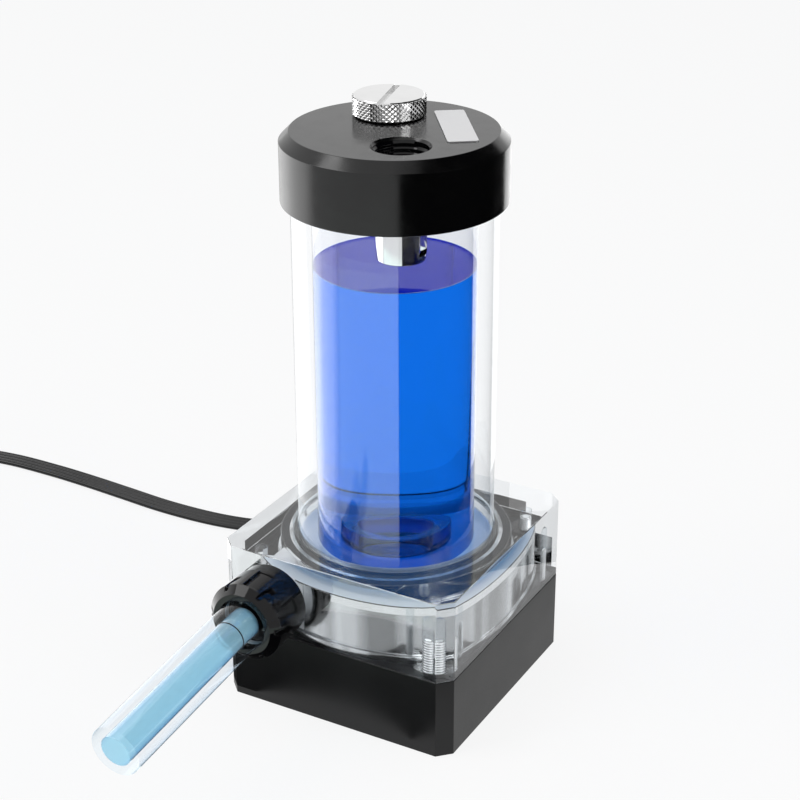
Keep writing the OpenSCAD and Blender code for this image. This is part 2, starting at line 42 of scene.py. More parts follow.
portTurn = 54.6  # degrees from +X back to the line of the cap's two ports
gasPitch = 1.337  # of the G1/4 threads
screwCircle = 25 * math.sqrt(2)

cameraSizes = {
    "azimuth": 29.49,
    "elevation": 24.64,
    "roll": -0.22,
    "distance": 0.46098,
    "target": (0, 0, 0.08),
    "lens": 83.35,
    "shift": (0.0056, -0.0136),
}


def makeCamera(s):
    turn, lift, roll = (math.radians(s[k]) for k in ("azimuth", "elevation", "roll"))
    back = Vector((math.sin(turn) * math.cos(lift), -math.cos(turn) * math.cos(lift), math.sin(lift)))
    level = Vector((math.cos(turn), math.sin(turn), 0))
    upright = back.cross(level)
    right = level * math.cos(roll) + upright * math.sin(roll)
    up = back.cross(right)
    camera = bpy.data.objects.new("camera", bpy.data.cameras.new("camera"))
    axes = Matrix((right, up, back)).transposed().to_4x4()
    camera.matrix_world = Matrix.Translation(Vector(s["target"]) + back * s["distance"]) @ axes
    camera.data.lens = s["lens"]
    camera.data.sensor_width = 36
    camera.data.shift_x, camera.data.shift_y = s["shift"]
    camera.data.clip_start, camera.data.clip_end = 0.01, 20
    bpy.context.scene.collection.objects.link(camera)
    bpy.context.scene.camera = camera


makeCamera(cameraSizes)
print("camera placed")


# A socket that shader maths is written on, in a material or in a geometry tree
class Wire:
    def __init__(self, graph, socket):
        self.graph, self.socket = graph, socket

    def __add__(self, other):
        return self.graph.maths("ADD", self, other)

    def __mul__(self, other):
        return self.graph.maths("MULTIPLY", self, other)

    def __sub__(self, other):
        return self.graph.maths("SUBTRACT", self, other)

    def __truediv__(self, other):
        return self.graph.maths("DIVIDE", self, other)

    def __mod__(self, other):
        return self.graph.maths("MODULO", self, other)

    def __rsub__(self, other):
        return self.graph.maths("SUBTRACT", other, self)

    def __rtruediv__(self, other):
        return self.graph.maths("DIVIDE", other, self)

    __radd__, __rmul__ = __add__, __mul__


class Graph:
    def __init__(self, tree):
        self.tree = tree

    def node(self, kind, settings=None, sockets=None, out=0):
        made = self.tree.nodes.new(kind)
        for name, value in (settings or {}).items():
            if name == "stops":
                for i, (at, colour) in enumerate(value):
                    stop = made.color_ramp.elements[i] if i < 2 else made.color_ramp.elements.new(at)
                    stop.position, stop.color = at, (*colour, 1)
            else:
                setattr(made, name, value)
        for name, value in (sockets or {}).items():
            self.feed(made.inputs[name], value)
        return Wire(self, made.outputs[out])

    def feed(self, socket, value):
        if isinstance(value, Wire):
            self.tree.links.new(value.socket, socket)
        elif socket.type == "RGBA" and len(value) == 3:
            socket.default_value = (*value, 1)
        else:
            socket.default_value = value

    def also(self, wire, out):
        return Wire(self, wire.socket.node.outputs[out])

    def maths(self, operation, *values):
        return self.node("ShaderNodeMath", {"operation": operation}, dict(enumerate(values)))

    def place(self):
        return self.node("ShaderNodeTexCoord", out="Object")

    def noise(self, scale, detail=2, where=None, roughness=0.5):
        return self.node(
            "ShaderNodeTexNoise", None,
            {"Vector": where or self.place(), "Scale": scale, "Detail": detail, "Roughness": roughness},
        )

    def spread(self, wire, low, high, toLow=0.0, toHigh=1.0):
        return self.node(
            "ShaderNodeMapRange", None,
            {"Value": wire, "From Min": low, "From Max": high, "To Min": toLow, "To Max": toHigh},
        )

    def blend(self, factor, a, b):
        return self.node("ShaderNodeMix", {"data_type": "RGBA"}, {0: factor, 6: a, 7: b}, 2)

    def bump(self, height, depth):
        return self.node("ShaderNodeBump", None, {"Height": height, "Distance": depth})

    def mixed(self, factor, first, second):
        return self.node("ShaderNodeMixShader", None, {0: factor, 1: first, 2: second})

    def clear(self, tint=(1, 1, 1)):
        return self.node("ShaderNodeBsdfTransparent", None, {"Color": tint})

    # What a camera, a mirror or a glass sees, and not what a surface is lit by
    def seen(self):
        ray = self.node("ShaderNodeLightPath")
        beyond = self.also(ray, "Is Glossy Ray") + self.also(ray, "Is Transmission Ray")
        return self.maths("MINIMUM", self.also(ray, "Is Camera Ray") + beyond, 1.0)

    def surface(self, shader, output="Material Output"):
        self.feed(self.tree.nodes[output].inputs["Surface"], shader)


def newMaterial(name, sockets, detail=None):
    made = bpy.data.materials.new(name)
    made.use_nodes = True
    graph = Graph(made.node_tree)
    shader = graph.tree.nodes["Principled BSDF"]
    for socket, value in sockets.items():
        graph.feed(shader.inputs[socket], value)
    if detail:
        for socket, wire in detail(graph).items():
            graph.feed(shader.inputs[socket], wire)
    return made


def emptyMaterial(name):
    made = bpy.data.materials.new(name)
    made.use_nodes = True
    made.node_tree.nodes.remove(made.node_tree.nodes["Principled BSDF"])
    return made, Graph(made.node_tree)


# Where the block's lower outer walls turn shallow light back, in metres from its axis and its foot:
# below the top, outside on one side, and clear of the corners on the other
lowerWalls = {"top": 0.03, "outside": 0.0315, "corner": 0.0215}
shallow = {"wall": (0.3, 0.4), "ceiling": (0.26, 0.4)}  # from facing where this starts to where it is whole


def lowerWallShare(graph, facing, s):
    across = graph.node("ShaderNodeSeparateXYZ", None, {0: graph.place()})
    x, y = (graph.maths("ABSOLUTE", graph.also(across, i)) for i in (0, 1))
    under = graph.maths("LESS_THAN", graph.also(across, 2), s["top"])
    outside = graph.maths("GREATER_THAN", graph.maths("MAXIMUM", x, y), s["outside"])
    between = graph.maths("LESS_THAN", graph.maths("MINIMUM", x, y), s["corner"])
    return under * outside * between * graph.spread(facing, *shallow["wall"])


# A thin clear wall: straight through, with a gloss that grows towards its edges. A mirrored one
# turns back all that meets it at a shallow angle; the milky share is a matt body colour
def thinWall(graph, tint, edgeTint, roughness=0.0, least=0.05, mirrored=False, milky=0.0, body=(1, 1, 1),
             lower=None):
    facing = graph.node("ShaderNodeLayerWeight", None, {"Blend": 0.5}, "Facing")
    edge = facing * facing * facing
    gloss = edge * facing * facing * (1 - least) + least
    if lower:
        gloss = graph.maths("MAXIMUM", gloss, lowerWallShare(graph, facing, lower))
    if mirrored:
        gloss = graph.spread(facing, *shallow["ceiling"], least, 1.0)
    normal = graph.bump(graph.noise(30, 1), 0.000006)
    through = graph.mixed(edge, graph.clear(tint), graph.clear(edgeTint))
    shine = graph.node("ShaderNodeBsdfAnisotropic", None, {"Roughness": roughness, "Normal": normal})
    if milky:
        matt = graph.node("ShaderNodeBsdfDiffuse", None, {"Color": body})
        if mirrored:
            shine = graph.mixed(milky, shine, matt)
        else:
            through = graph.mixed(milky, through, matt)
    return graph.mixed(gloss, through, shine)


# Lamps shine through a clear surface and take on its tint
def lampsThrough(graph, shader, tint):
    ray = graph.node("ShaderNodeLightPath", out="Is Shadow Ray")
    graph.surface(graph.mixed(ray, shader, graph.clear(tint)))


# True for light that has already met as many surfaces
def metAlready(graph, count):
    depth = graph.node("ShaderNodeLightPath", out="Ray Depth")
    return graph.maths("GREATER_THAN", depth, count - 0.5)


# A thick clear body bends what is seen through its near side; light that only passes through it on
# its way to something else, or has already been bent, goes straight on as through a thin wall
def thickBody(name, colour, ior, waves, tint, edgeTint, bends, lower=None):
    values = {"Base Color": colour, "Transmission Weight": 1.0, "Roughness": 0.0, "IOR": ior}
    made = newMaterial(name, values, wavyDetail(waves))
    graph = Graph(made.node_tree)
    shader = Wire(graph, graph.tree.nodes["Principled BSDF"].outputs[0])
    wall = thinWall(graph, tint, edgeTint, lower=lower)
    lampsThrough(graph, graph.mixed(metAlready(graph, bends), shader, wall), tint)
    return made


def anodisedDetail(g):
    grain = g.noise(9000, 3)
    cloud = g.noise(90, 2)
    return {
        "Base Color": g.blend(g.spread(cloud, 0.35, 0.65), (0.0045, 0.0045, 0.005), (0.0065, 0.0065, 0.007)),
        "Roughness": g.spread(grain, 0.3, 0.7, 0.34, 0.44) + g.spread(cloud, 0.3, 0.7, -0.02, 0.02),
        "Normal": g.bump(grain, 0.000002),
    }


def turnedDetail(base, low, high, depth):
    def detail(g):
        split = g.node("ShaderNodeSeparateXYZ", None, {0: g.place()})
        ringed = g.node("ShaderNodeCombineXYZ", None, {2: g.also(split, 2)})
        lines = g.noise(2600, 3, ringed)
        upright = g.node("ShaderNodeCombineXYZ", None, {0: split, 1: g.also(split, 1)})
        streaks = g.noise(95, 2, upright)
        smudge = g.noise(160, 3)
        return {
            "Base Color": g.blend(g.spread(streaks, 0.4, 0.62), base, tuple(0.36 * c for c in base)),
            "Roughness": g.spread(lines, 0.3, 0.7, low, high) + g.spread(smudge, 0.4, 0.7, -0.01, 0.03),
            "Normal": g.bump(lines, depth),
        }
    return detail


def smudgedDetail(base, roughness, depth=0.000004, scale=220):
    def detail(g):
        smudge = g.noise(scale, 4, roughness=0.6)
        speck = g.noise(5200, 2)
        return {
            "Base Color": g.blend(smudge, base, tuple(0.88 * c for c in base)),
            "Roughness": g.spread(smudge, 0.35, 0.7, 0.8 * roughness, 1.35 * roughness),
            "Normal": g.bump(speck, depth),
        }
    return detail


def brushedDetail(base, low, high):
    def detail(g):
        turned = g.node(
            "ShaderNodeMapping", None,
            {"Vector": g.place(), "Rotation": (0, 0, math.radians(portTurn)), "Scale": (1, 34, 1)},
        )
        lines = g.noise(420, 4, turned, roughness=0.7)
        return {
            "Base Color": g.blend(lines, base, tuple(0.9 * c for c in base)),
            "Roughness": g.spread(lines, 0.3, 0.7, low, high),
            "Normal": g.bump(lines, 0.000004),
        }
    return detail


def wavyDetail(depth):
    def detail(g):
        return {"Normal": g.bump(g.noise(45, 1), depth)}
    return detail


def boardDetail(g):
    weave = g.noise(1800, 2)
    cells = {"Vector": g.place(), "Scale": 420}
    tracks = g.node("ShaderNodeTexVoronoi", {"feature": "DISTANCE_TO_EDGE"}, cells)
    line = g.maths("LESS_THAN", tracks, 0.06)
    return {
        "Base Color": g.blend(line, (0.008, 0.075, 0.03), (0.02, 0.16, 0.06)),
        "Roughness": g.spread(weave, 0.3, 0.7, 0.3, 0.45),
        "Normal": g.bump(line, 0.00001),
    }


# Dark lines at a steady pitch up Z: on the laminations and the wire turns they are seams, and on the threaded
# steel they are painted shade in the thread's grooves
def seamAndShadeLineDetail(base, pitch, depth):
    def detail(g):
        split = g.node("ShaderNodeSeparateXYZ", None, {0: g.place()})
        level = g.also(split, 2) * (1 / pitch)
        # The dark line: a seam, or on the threaded steel painted shade in a thread groove
        seamAndShadeLine = g.maths("LESS_THAN", g.maths("FRACT", level), 0.22)
        return {
            "Base Color": g.blend(seamAndShadeLine, base, tuple(0.2 * c for c in base)),
            "Roughness": g.spread(g.noise(900, 2), 0.3, 0.7, 0.3, 0.5),
            "Normal": g.bump(1 - seamAndShadeLine, depth),
        }
    return detail


finishes = {
    "black_anodised": newMaterial(
        "black anodised", {"Specular IOR Level": 0.34}, anodisedDetail),
    "gloss_black": newMaterial(
        "gloss black", {"Specular IOR Level": 0.27}, smudgedDetail((0.0015, 0.0015, 0.002), 0.04, 0.000001)),
    "satin_black": newMaterial(
        "satin black", {"IOR": 1.47}, smudgedDetail((0.0018, 0.0018, 0.002), 0.17)),
    "black_plastic": newMaterial(
        "black plastic", {}, smudgedDetail((0.018, 0.018, 0.019), 0.42, 0.00001, 700)),
    "dark_plastic": newMaterial(
        "dark plastic", {}, smudgedDetail((0.03, 0.032, 0.036), 0.36, 0.000008, 600)),
    "white_plastic": newMaterial(
        "white plastic", {}, smudgedDetail((0.78, 0.78, 0.76), 0.38, 0.000006, 500)),
    "steel": newMaterial(
        "steel", {"Metallic": 1.0}, smudgedDetail((0.8, 0.8, 0.8), 0.16, 0.000002, 900)),
    # Painted shade: dark lines at the thread's pitch stand for the shade in its grooves
    "steel_with_painted_thread_shade": newMaterial(
        "steel with painted thread shade", {"Metallic": 1.0}, seamAndShadeLineDetail((0.95, 0.95, 0.95), 0.0007, 0.0001)),
    "polished_chrome": newMaterial(
        "polished chrome", {"Metallic": 1.0}, smudgedDetail((0.82, 0.82, 0.82), 0.05, 0.000001, 260)),
    "satin_silver": newMaterial(
        "satin silver", {"Metallic": 0.9}, brushedDetail((0.72, 0.72, 0.73), 0.28, 0.4)),
    "satin_aluminium": newMaterial(
        "satin aluminium", {"Metallic": 1.0}, turnedDetail((0.76, 0.765, 0.77), 0.12, 0.2, 0.0000003)),
    "copper": newMaterial(
        "enamelled copper", {"Metallic": 1.0}, seamAndShadeLineDetail((0.72, 0.3, 0.12), 0.00045, 0.00012)),
    "lamination": newMaterial(
        "laminated steel", {"Metallic": 1.0}, seamAndShadeLineDetail((0.5, 0.5, 0.52), 0.0005, 0.00003)),
    "green_board": newMaterial("green board", {}, boardDetail),
    "seal_rubber": newMaterial(
        "seal rubber", {}, smudgedDetail((0.016, 0.016, 0.016), 0.55, 0.00001, 900)),
    "ceramic": newMaterial("ceramic", {}, smudgedDetail((0.82, 0.8, 0.76), 0.22, 0.000003, 400)),
    "magnet": newMaterial("magnet", {"Metallic": 0.6}, smudgedDetail((0.09, 0.09, 0.095), 0.4, 0.00001, 800)),
    "lead_jacket": newMaterial(
        "lead jacket", {"Specular IOR Level": 0.3},
        smudgedDetail((0.0035, 0.0035, 0.004), 0.18, 0.000002, 1200)),
    "clear_acrylic": thickBody(
        "clear acrylic", (0.99, 0.995, 1.0), 1.6, 0.000002,
        (0.95, 0.965, 0.975), (0.8, 0.83, 0.86), 1, lowerWalls),
    "blue_coolant": thickBody(
        "blue coolant", (0.006, 0.19, 0.93), 1.33, 0.000001, (0.35, 0.7, 1.0), (0.15, 0.4, 0.95), 2),
    "blue_tinted_acrylic": thickBody(
        "blue tinted acrylic", (0.3, 0.7, 0.97), 1.5, 0.000001, (0.5, 0.8, 0.98), (0.03, 0.12, 0.5), 4),
}

# Clear finishes that bend nothing
wallFinishes = {
    "clear_tube": {"tint": (0.99, 0.995, 1.0), "edgeTint": (0.95, 0.965, 0.98), "roughness": 0.01},
    "clear_hose": {"tint": (0.98, 0.99, 1.0), "edgeTint": (0.62, 0.78, 0.92), "roughness": 0.04},
    "pale_coolant": {"tint": (0.62, 0.88, 0.99), "edgeTint": (0.02, 0.3, 0.78), "roughness": 0.05,
                     "least": 0.06, "milky": 0.4, "body": (0.66, 0.94, 1.0)},
    "coolant_top": {"tint": (0.03, 0.03, 0.5), "edgeTint": (0.03, 0.03, 0.5)},
    "coolant_foot": {"tint": (0.3, 0.76, 1.0), "edgeTint": (0.05, 0.3, 0.9)},
    "inlet_coolant": {"tint": (0.4, 0.85, 1.0), "edgeTint": (0.02, 0.15, 0.6), "least": 0.16,
                      "milky": 0.6, "body": (0.5, 0.95, 1.0)},
    "acrylic_ceiling": {"tint": (0.97, 0.98, 0.99), "edgeTint": (0.97, 0.98, 0.99), "least": 0.03,
                        "mirrored": True, "milky": 0.75, "body": (0.82, 0.88, 0.93)},
    "cut_acrylic": {"tint": (0.97, 0.98, 0.99), "edgeTint": (0.85, 0.88, 0.92), "roughness": 0.1,
                    "least": 0.12, "milky": 0.8, "body": (0.93, 0.95, 0.97)},
    "tube_foot": {"tint": (0.8, 0.83, 0.86), "edgeTint": (0.5, 0.55, 0.62), "least": 0.06},
    "clear_silicone": {"tint": (0.93, 0.95, 0.96), "edgeTint": (0.75, 0.78, 0.82), "roughness": 0.1,
                       "least": 0.03},
}
for name, looks in wallFinishes.items():
    finishes[name], graph = emptyMaterial(name.replace("_", " "))
    lampsThrough(graph, thinWall(graph, **looks), looks["tint"])
print("finishes made:", len(finishes))


# Rounds the corners of a closed outline; a corner's third number is its radius
def soften(outline, steps=4):
    done = []
    for i, corner in enumerate(outline):
        here = Vector(corner[:2])
        if len(corner) < 3:
            done.append(here)
            continue
        before = (Vector(outline[i - 1][:2]) - here).normalized()
        after = (Vector(outline[(i + 1) % len(outline)][:2]) - here).normalized()
        half = before.angle(after) / 2
        middle = here + (before + after).normalized() * (corner[2] / math.sin(half))
        first = here + before * (corner[2] / math.tan(half)) - middle
        last = here + after * (corner[2] / math.tan(half)) - middle
        turn = first.angle_signed(last)
        for k in range(steps + 1):
            done.append(middle + Matrix.Rotation(-turn * k / steps, 2) @ first)
    return done


# Turns a closed outline of (radius, height) points about the Z axis
def turned(outline, steps=128, shape=None):
    bm = bmesh.new()
    rings = []
    for radius, height in soften(outline):
        ring = []
        for i in range(steps if radius > 1e-6 else 1):
            angle = 2 * math.pi * i / steps
            r = shape(radius, height, angle) if shape else radius
            ring.append(bm.verts.new((r * math.cos(angle), r * math.sin(angle), height)))
        rings.append(ring)
    for low, high in zip(rings, rings[1:] + rings[:1]):
        if len(low) == 1 and len(high) == 1:
            continue
        for i in range(steps):
            j = (i + 1) % steps
            corners = [low[i % len(low)], low[j % len(low)], high[j % len(high)], high[i % len(high)]]
            bm.faces.new(list(dict.fromkeys(corners)))
    bmesh.ops.recalc_face_normals(bm, faces=bm.faces)
    return bm


def bevelled(bm, edges, offset, segments):
    bmesh.ops.bevel(
        bm, geom=edges, offset=offset, segments=segments, profile=0.5, affect="EDGES", clamp_overlap=True)


# A plate with the given outline, its upper and lower edges rounded, and its upright ones too if asked
def plate(outline, low, high, edge=0.0, upright=False):
    bm = bmesh.new()
    floor = [bm.verts.new((x, y, low)) for x, y in outline]
    top = [bm.verts.new((x, y, high)) for x, y in outline]
    bm.faces.new(floor[::-1])
    bm.faces.new(top)
    for i in range(len(floor)):
        j = (i + 1) % len(floor)
        bm.faces.new((floor[i], floor[j], top[j], top[i]))
    bmesh.ops.recalc_face_normals(bm, faces=bm.faces)
    if edge:
        bm.normal_update()
        sharp = [e for e in bm.edges if e.calc_face_angle(0) > (0.5 if upright else 1.2)]
        bevelled(bm, sharp, edge, 3)
    return bm


def squareOutline(side, cut):
    a, b = side / 2, side / 2 - cut
    return [(b, -a), (a, -b), (a, b), (b, a), (-b, a), (-a, b), (-a, -b), (-b, -a)]


def barrel(radius, low, high, steps=96):
    return turned([(0, low), (radius, low), (radius, high), (0, high)], steps)


def moved(bm, place):
    bmesh.ops.transform(bm, matrix=place, verts=bm.verts)
    return bm


def joined(*parts):
    whole = bmesh.new()
    for part in parts:
        temp = bpy.data.meshes.new("part")
        part.to_mesh(temp)
        part.free()
        whole.from_mesh(temp)
        bpy.data.meshes.remove(temp)
    return whole


def asObject(name, bm, scale=1.0):
    mesh = bpy.data.meshes.new(name)
    bmesh.ops.scale(bm, vec=(scale, scale, scale), verts=bm.verts)
    bm.normal_update()
    bm.to_mesh(mesh)
    bm.free()
    made = bpy.data.objects.new(name, mesh)
    bpy.context.scene.collection.objects.link(made)
    return made


# The shape that an object's modifiers leave
def asFinished(piece):
    bpy.context.view_layer.update()
    result = bpy.data.meshes.new_from_object(piece.evaluated_get(bpy.context.evaluated_depsgraph_get()))
    done = bmesh.new()
    done.from_mesh(result)
    bpy.data.meshes.remove(result)
    return done


# Cuts the given shapes out of the first
def carved(bm, *cutters):
    work = asObject("work", bm)
    tools = [asObject("tool", cutter) for cutter in cutters]
    for tool in tools:
        step = work.modifiers.new("cut", "BOOLEAN")
        step.operation, step.object, step.solver = "DIFFERENCE", tool, "EXACT"
    done = asFinished(work)
    for spare in [work, *tools]:
        mesh = spare.data
        bpy.data.objects.remove(spare)
        bpy.data.meshes.remove(mesh)
    return done


def newPiece(name, bm, finish, replaced=(), body="base", place=None, angle=28):
    if place is not None:
        moved(bm, place)
    made = asObject(name, bm, mm)
    made.data.materials.clear()
    made.data.materials.append(finishes[finish])
    for face in made.data.polygons:
        face.use_smooth = True
        face.material_index = 0
    made.data.set_sharp_from_angle(angle=math.radians(angle))
    level = made.modifiers.new("levelNormals", "WEIGHTED_NORMAL")
    level.keep_sharp, level.weight = True, 90
    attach(made, body)
    if replaced:
        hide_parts(*replaced)
    return made


# Gives a piece more finishes; the rule takes a face's middle, in millimetres, and names its finish,
# or names none where the piece's own stays
def finishFaces(piece, names, rule):
    for name in names:
        piece.data.materials.append(finishes[name])
    for face in piece.data.polygons:
        picked = rule(face.center / mm)
        if picked:
            face.material_index = names.index(picked) + 1


# A clean copy of a node's mesh, in millimetres, with its sharp edges eased
def easedCopy(name, edge=0.0):
    bm = bmesh.new()
    bm.from_mesh(nodes[name].data)
    bmesh.ops.remove_doubles(bm, verts=bm.verts, dist=1e-6)
    bmesh.ops.dissolve_limit(bm, angle_limit=math.radians(0.5), verts=bm.verts, edges=bm.edges)
    bmesh.ops.scale(bm, vec=(1000, 1000, 1000), verts=bm.verts)
    if edge:
        bm.normal_update()
        sharp = [e for e in bm.edges if e.is_manifold and e.calc_face_angle(0) > math.radians(30)]
        bevelled(bm, sharp, edge, 2)
    return bm


# Geometry trees: each starts from its named inputs and ends as one mesh; their Material input is never given,
# so the set-material step sets none
def startTree(name, inputs):
    tree = bpy.data.node_groups.new(name, "GeometryNodeTree")
    tree.interface.new_socket("Geometry", in_out="INPUT", socket_type="NodeSocketGeometry")
    for label, kind in {**inputs, "Material": "Material"}.items():
        tree.interface.new_socket(label, in_out="INPUT", socket_type="NodeSocket" + kind)
    tree.interface.new_socket("Geometry", in_out="OUTPUT", socket_type="NodeSocketGeometry")
    graph = Graph(tree)
    source = tree.nodes.new("NodeGroupInput")
    return graph, {socket.name: Wire(graph, socket) for socket in source.outputs if socket.name}


def endTree(graph, geometry, given):
    real = graph.node("GeometryNodeRealizeInstances", None, {"Geometry": geometry})
    painted = graph.node("GeometryNodeSetMaterial", None, {"Geometry": real, "Material": given["Material"]})
    sink = graph.tree.nodes.new("NodeGroupOutput")
    graph.tree.links.new(painted.socket, sink.inputs[0])
    return graph.tree


# Copies of the given shape, evenly round the Z axis
def makeAroundTree():
    g, given = startTree("around", {"Count": "Int", "First Angle": "Float"})
    index = g.node("GeometryNodeInputIndex")
    angle = given["First Angle"] + index * (2 * math.pi / given["Count"])
    spot = g.node("GeometryNodePoints", None, {"Count": given["Count"]})
    turn = g.node("ShaderNodeCombineXYZ", None, {2: angle})
    copies = g.node(
        "GeometryNodeInstanceOnPoints", None,
        {"Points": spot, "Instance": given["Geometry"], "Rotation": turn},
    )
    return endTree(g, copies, given)


# A helical ridge with a diamond section
def makeThreadTree():
    g, given = startTree(
        "thread", {"Radius": "Float", "Pitch": "Float", "Turns": "Float", "Depth": "Float",
                   "Start": "Float", "Steps": "Int"})
    helix = g.node(
        "GeometryNodeCurveSpiral", None,
        {"Resolution": given["Steps"], "Rotations": given["Turns"], "Start Radius": given["Radius"],
         "End Radius": given["Radius"], "Height": given["Pitch"] * given["Turns"]},
    )
    upright = g.node("GeometryNodeSetCurveNormal", {"mode": "Z_UP"}, {"Curve": helix})
    section = g.node("GeometryNodeCurvePrimitiveCircle", None, {"Resolution": 4, "Radius": given["Depth"]})
    ridge = g.node(
        "GeometryNodeCurveToMesh", None,
        {"Curve": upright, "Profile Curve": section, "Fill Caps": True},
    )
    lift = g.node("ShaderNodeCombineXYZ", None, {2: given["Start"]})
    raised = g.node("GeometryNodeTransform", None, {"Geometry": ridge, "Translation": lift})
    return endTree(g, raised, given)


# Rows of pointed diamonds, each row half a step on from the last
def makeKnurlTree():
    g, given = startTree(
        "knurl", {"Columns": "Int", "Rows": "Int", "Radius": "Float", "Row Pitch": "Float",
                  "Depth": "Float", "Start": "Float"})
    index = g.node("GeometryNodeInputIndex")
    row = g.maths("FLOOR", (index + 0.5) / given["Columns"])
    column = index - row * given["Columns"] + (row % 2) * 0.5
    angle = column * (2 * math.pi / given["Columns"])
    east = g.maths("COSINE", angle) * given["Radius"]
    north = g.maths("SINE", angle) * given["Radius"]
    height = row * given["Row Pitch"] + given["Start"]
    spot = g.node("ShaderNodeCombineXYZ", None, {0: east, 1: north, 2: height})
    points = g.node("GeometryNodePoints", None, {"Count": given["Columns"] * given["Rows"], "Position": spot})
    spike = g.node(
        "GeometryNodeMeshCone", {"fill_type": "NGON"},
        {"Vertices": 4, "Radius Top": 0.0, "Radius Bottom": 1.0, "Depth": 1.0},
    )
    turn = g.node("ShaderNodeCombineXYZ", None, {1: math.pi / 2, 2: angle})
    half = given["Radius"] * (math.pi / given["Columns"])
    size = g.node("ShaderNodeCombineXYZ", None, {0: given["Row Pitch"], 1: half, 2: given["Depth"]})
    spikes = g.node(
        "GeometryNodeInstanceOnPoints", None,
        {"Points": points, "Instance": spike, "Rotation": turn, "Scale": size},
    )
    return endTree(g, spikes, given)


# Round cores side by side along a line, as in a ribbon lead
def makeCoresTree():
    g, given = startTree(
        "cores", {"Cores": "Int", "Core Diameter": "Float", "Spacing": "Float", "Sides": "Int"})
    line = g.node("GeometryNodeMeshToCurve", None, {0: given["Geometry"]})
    level = g.node("GeometryNodeSetCurveNormal", {"mode": "Z_UP"}, {"Curve": line})
    index = g.node("GeometryNodeInputIndex")
    across = (index - (given["Cores"] - 1) * 0.5) * given["Spacing"]
    spot = g.node("ShaderNodeCombineXYZ", None, {0: across})
    points = g.node("GeometryNodePoints", None, {"Count": given["Cores"], "Position": spot})
    circle = g.node(
        "GeometryNodeCurvePrimitiveCircle", None,
        {"Resolution": given["Sides"], "Radius": given["Core Diameter"] * 0.5},
    )
    circles = g.node("GeometryNodeInstanceOnPoints", None, {"Points": points, "Instance": circle})
    section = g.node("GeometryNodeRealizeInstances", None, {"Geometry": circles})
    cores = g.node(
        "GeometryNodeCurveToMesh", None, {"Curve": level, "Profile Curve": section, "Fill Caps": True})
    return endTree(g, cores, given)


aroundTree, threadTree, knurlTree, coresTree = (
    makeAroundTree(), makeThreadTree(), makeKnurlTree(), makeCoresTree())


def grown(tree, sizes, start=None):
    mesh = bpy.data.meshes.new("start")
    if start is not None:
        start.to_mesh(mesh)
        start.free()
    holder = bpy.data.objects.new("holder", mesh)
    bpy.context.scene.collection.objects.link(holder)
    modifier = holder.modifiers.new("nodes", "NODES")
    modifier.node_group = tree
    for item in tree.interface.items_tree:
        if item.in_out == "INPUT" and item.name in sizes:
            modifier[item.identifier] = sizes[item.name]
    done = asFinished(holder)
    bpy.data.objects.remove(holder)
    bpy.data.meshes.remove(mesh)
    return done


def around(bm, count, firstAngle=0.0):
    return grown(aroundTree, {"Count": count, "First Angle": math.radians(firstAngle)}, bm)


def thread(radius, pitch, turns, depth, start, steps=40):
    return grown(threadTree, {
        "Radius": radius, "Pitch": pitch, "Turns": turns, "Depth": depth, "Start": start, "Steps": steps})


print("geometry trees made")


leadSizes = {"cores": 4, "coreDiameter": 1.6, "width": 6.4, "step": 2.0, "sides": 16}
leadRoute = [
    (-14, 24, 6), (-14, 33, 6), (-14, 39, 5.5), (-15, 45, 4), (-18, 51, 2.5), (-23, 55.5, 1.5),
    (-30, 58, 1), (-38, 57.5, 0.9), (-47, 54.5, 0.9), (-57, 50, 0.9), (-67, 45.5, 0.9),
    (-78, 42, 0.9), (-90, 40.3, 0.9), (-105, 40, 0.9), (-120, 41, 0.9), (-135, 42, 0.9),
    (-150, 42.5, 0.9), (-167, 42, 0.9), (-182, 39, 0.9), (-196, 32, 0.9), (-206, 20, 0.9),
    (-209, 5, 0.9), (-205, -10, 0.9), (-195, -22, 0.9), (-180, -27, 0.9), (-165, -23, 0.9),
    (-155, -12, 0.9), (-152, 1, 0.9), (-156, 12, 0.9), (-164, 19, 1.2), (-171, 21, 2.2),
    (-178, 21, 2.7), (-184, 21, 2.7),
]


# A smooth line through every point of the route
def smoothLine(route, step):
    points = [Vector(p) for p in route]
    points = [2 * points[0] - points[1], *points, 2 * points[-1] - points[-2]]
    line = []
    for a, b, c, d in zip(points, points[1:], points[2:], points[3:]):
        count = max(1, round((c - b).length / step))
        for k in range(count):
            t = k / count
            curve = (2 * a - 5 * b + 4 * c - d) * t * t + (3 * b - a - 3 * c + d) * t * t * t
            line.append(0.5 * (2 * b + (c - a) * t + curve))
    return [*line, points[-2]]


def makeLead(s):
    line = smoothLine(leadRoute, s["step"])
    bm = bmesh.new()
    spots = [bm.verts.new(point) for point in line]
    for a, b in zip(spots, spots[1:]):
        bm.edges.new((a, b))
    cores = grown(coresTree, {
        "Cores": s["cores"], "Core Diameter": s["coreDiameter"], "Spacing": s["coreDiameter"],
        "Sides": s["sides"]}, bm)
    lead = newPiece("ribbonLead", cores, "lead_jacket", ["pump_lead"], angle=60)
    length = sum((b - a).length for a, b in zip(line, line[1:]))
    [tuple(point * mm) for point in line]
    print("lead made, whole length", round(length, 1), "mm")


makeLead(leadSizes)


baseEdges = {"housing": 0.25, "cover": 0.12, "screws": 0.05}
screwSizes = {
    "headLow": 0.3, "headHigh": 3.3, "head": 5.5, "shank": 3.0, "tip": 30.3, "socket": 2.7,
    "socketDepth": 1.6, "pitch": 0.7, "turns": 17, "depth": 0.27, "neck": 14,
}


def makeHousing(s):
    newPiece("motorHousing", easedCopy("motor_housing", s["housing"]), "black_anodised", ["motor_housing"])
    newPiece("bottomCover", easedCopy("bottom_cover", s["cover"]), "black_plastic", ["bottom_cover"])
    newPiece("coverScrews", easedCopy("cover_screws", s["screws"]), "steel", ["cover_screws"])


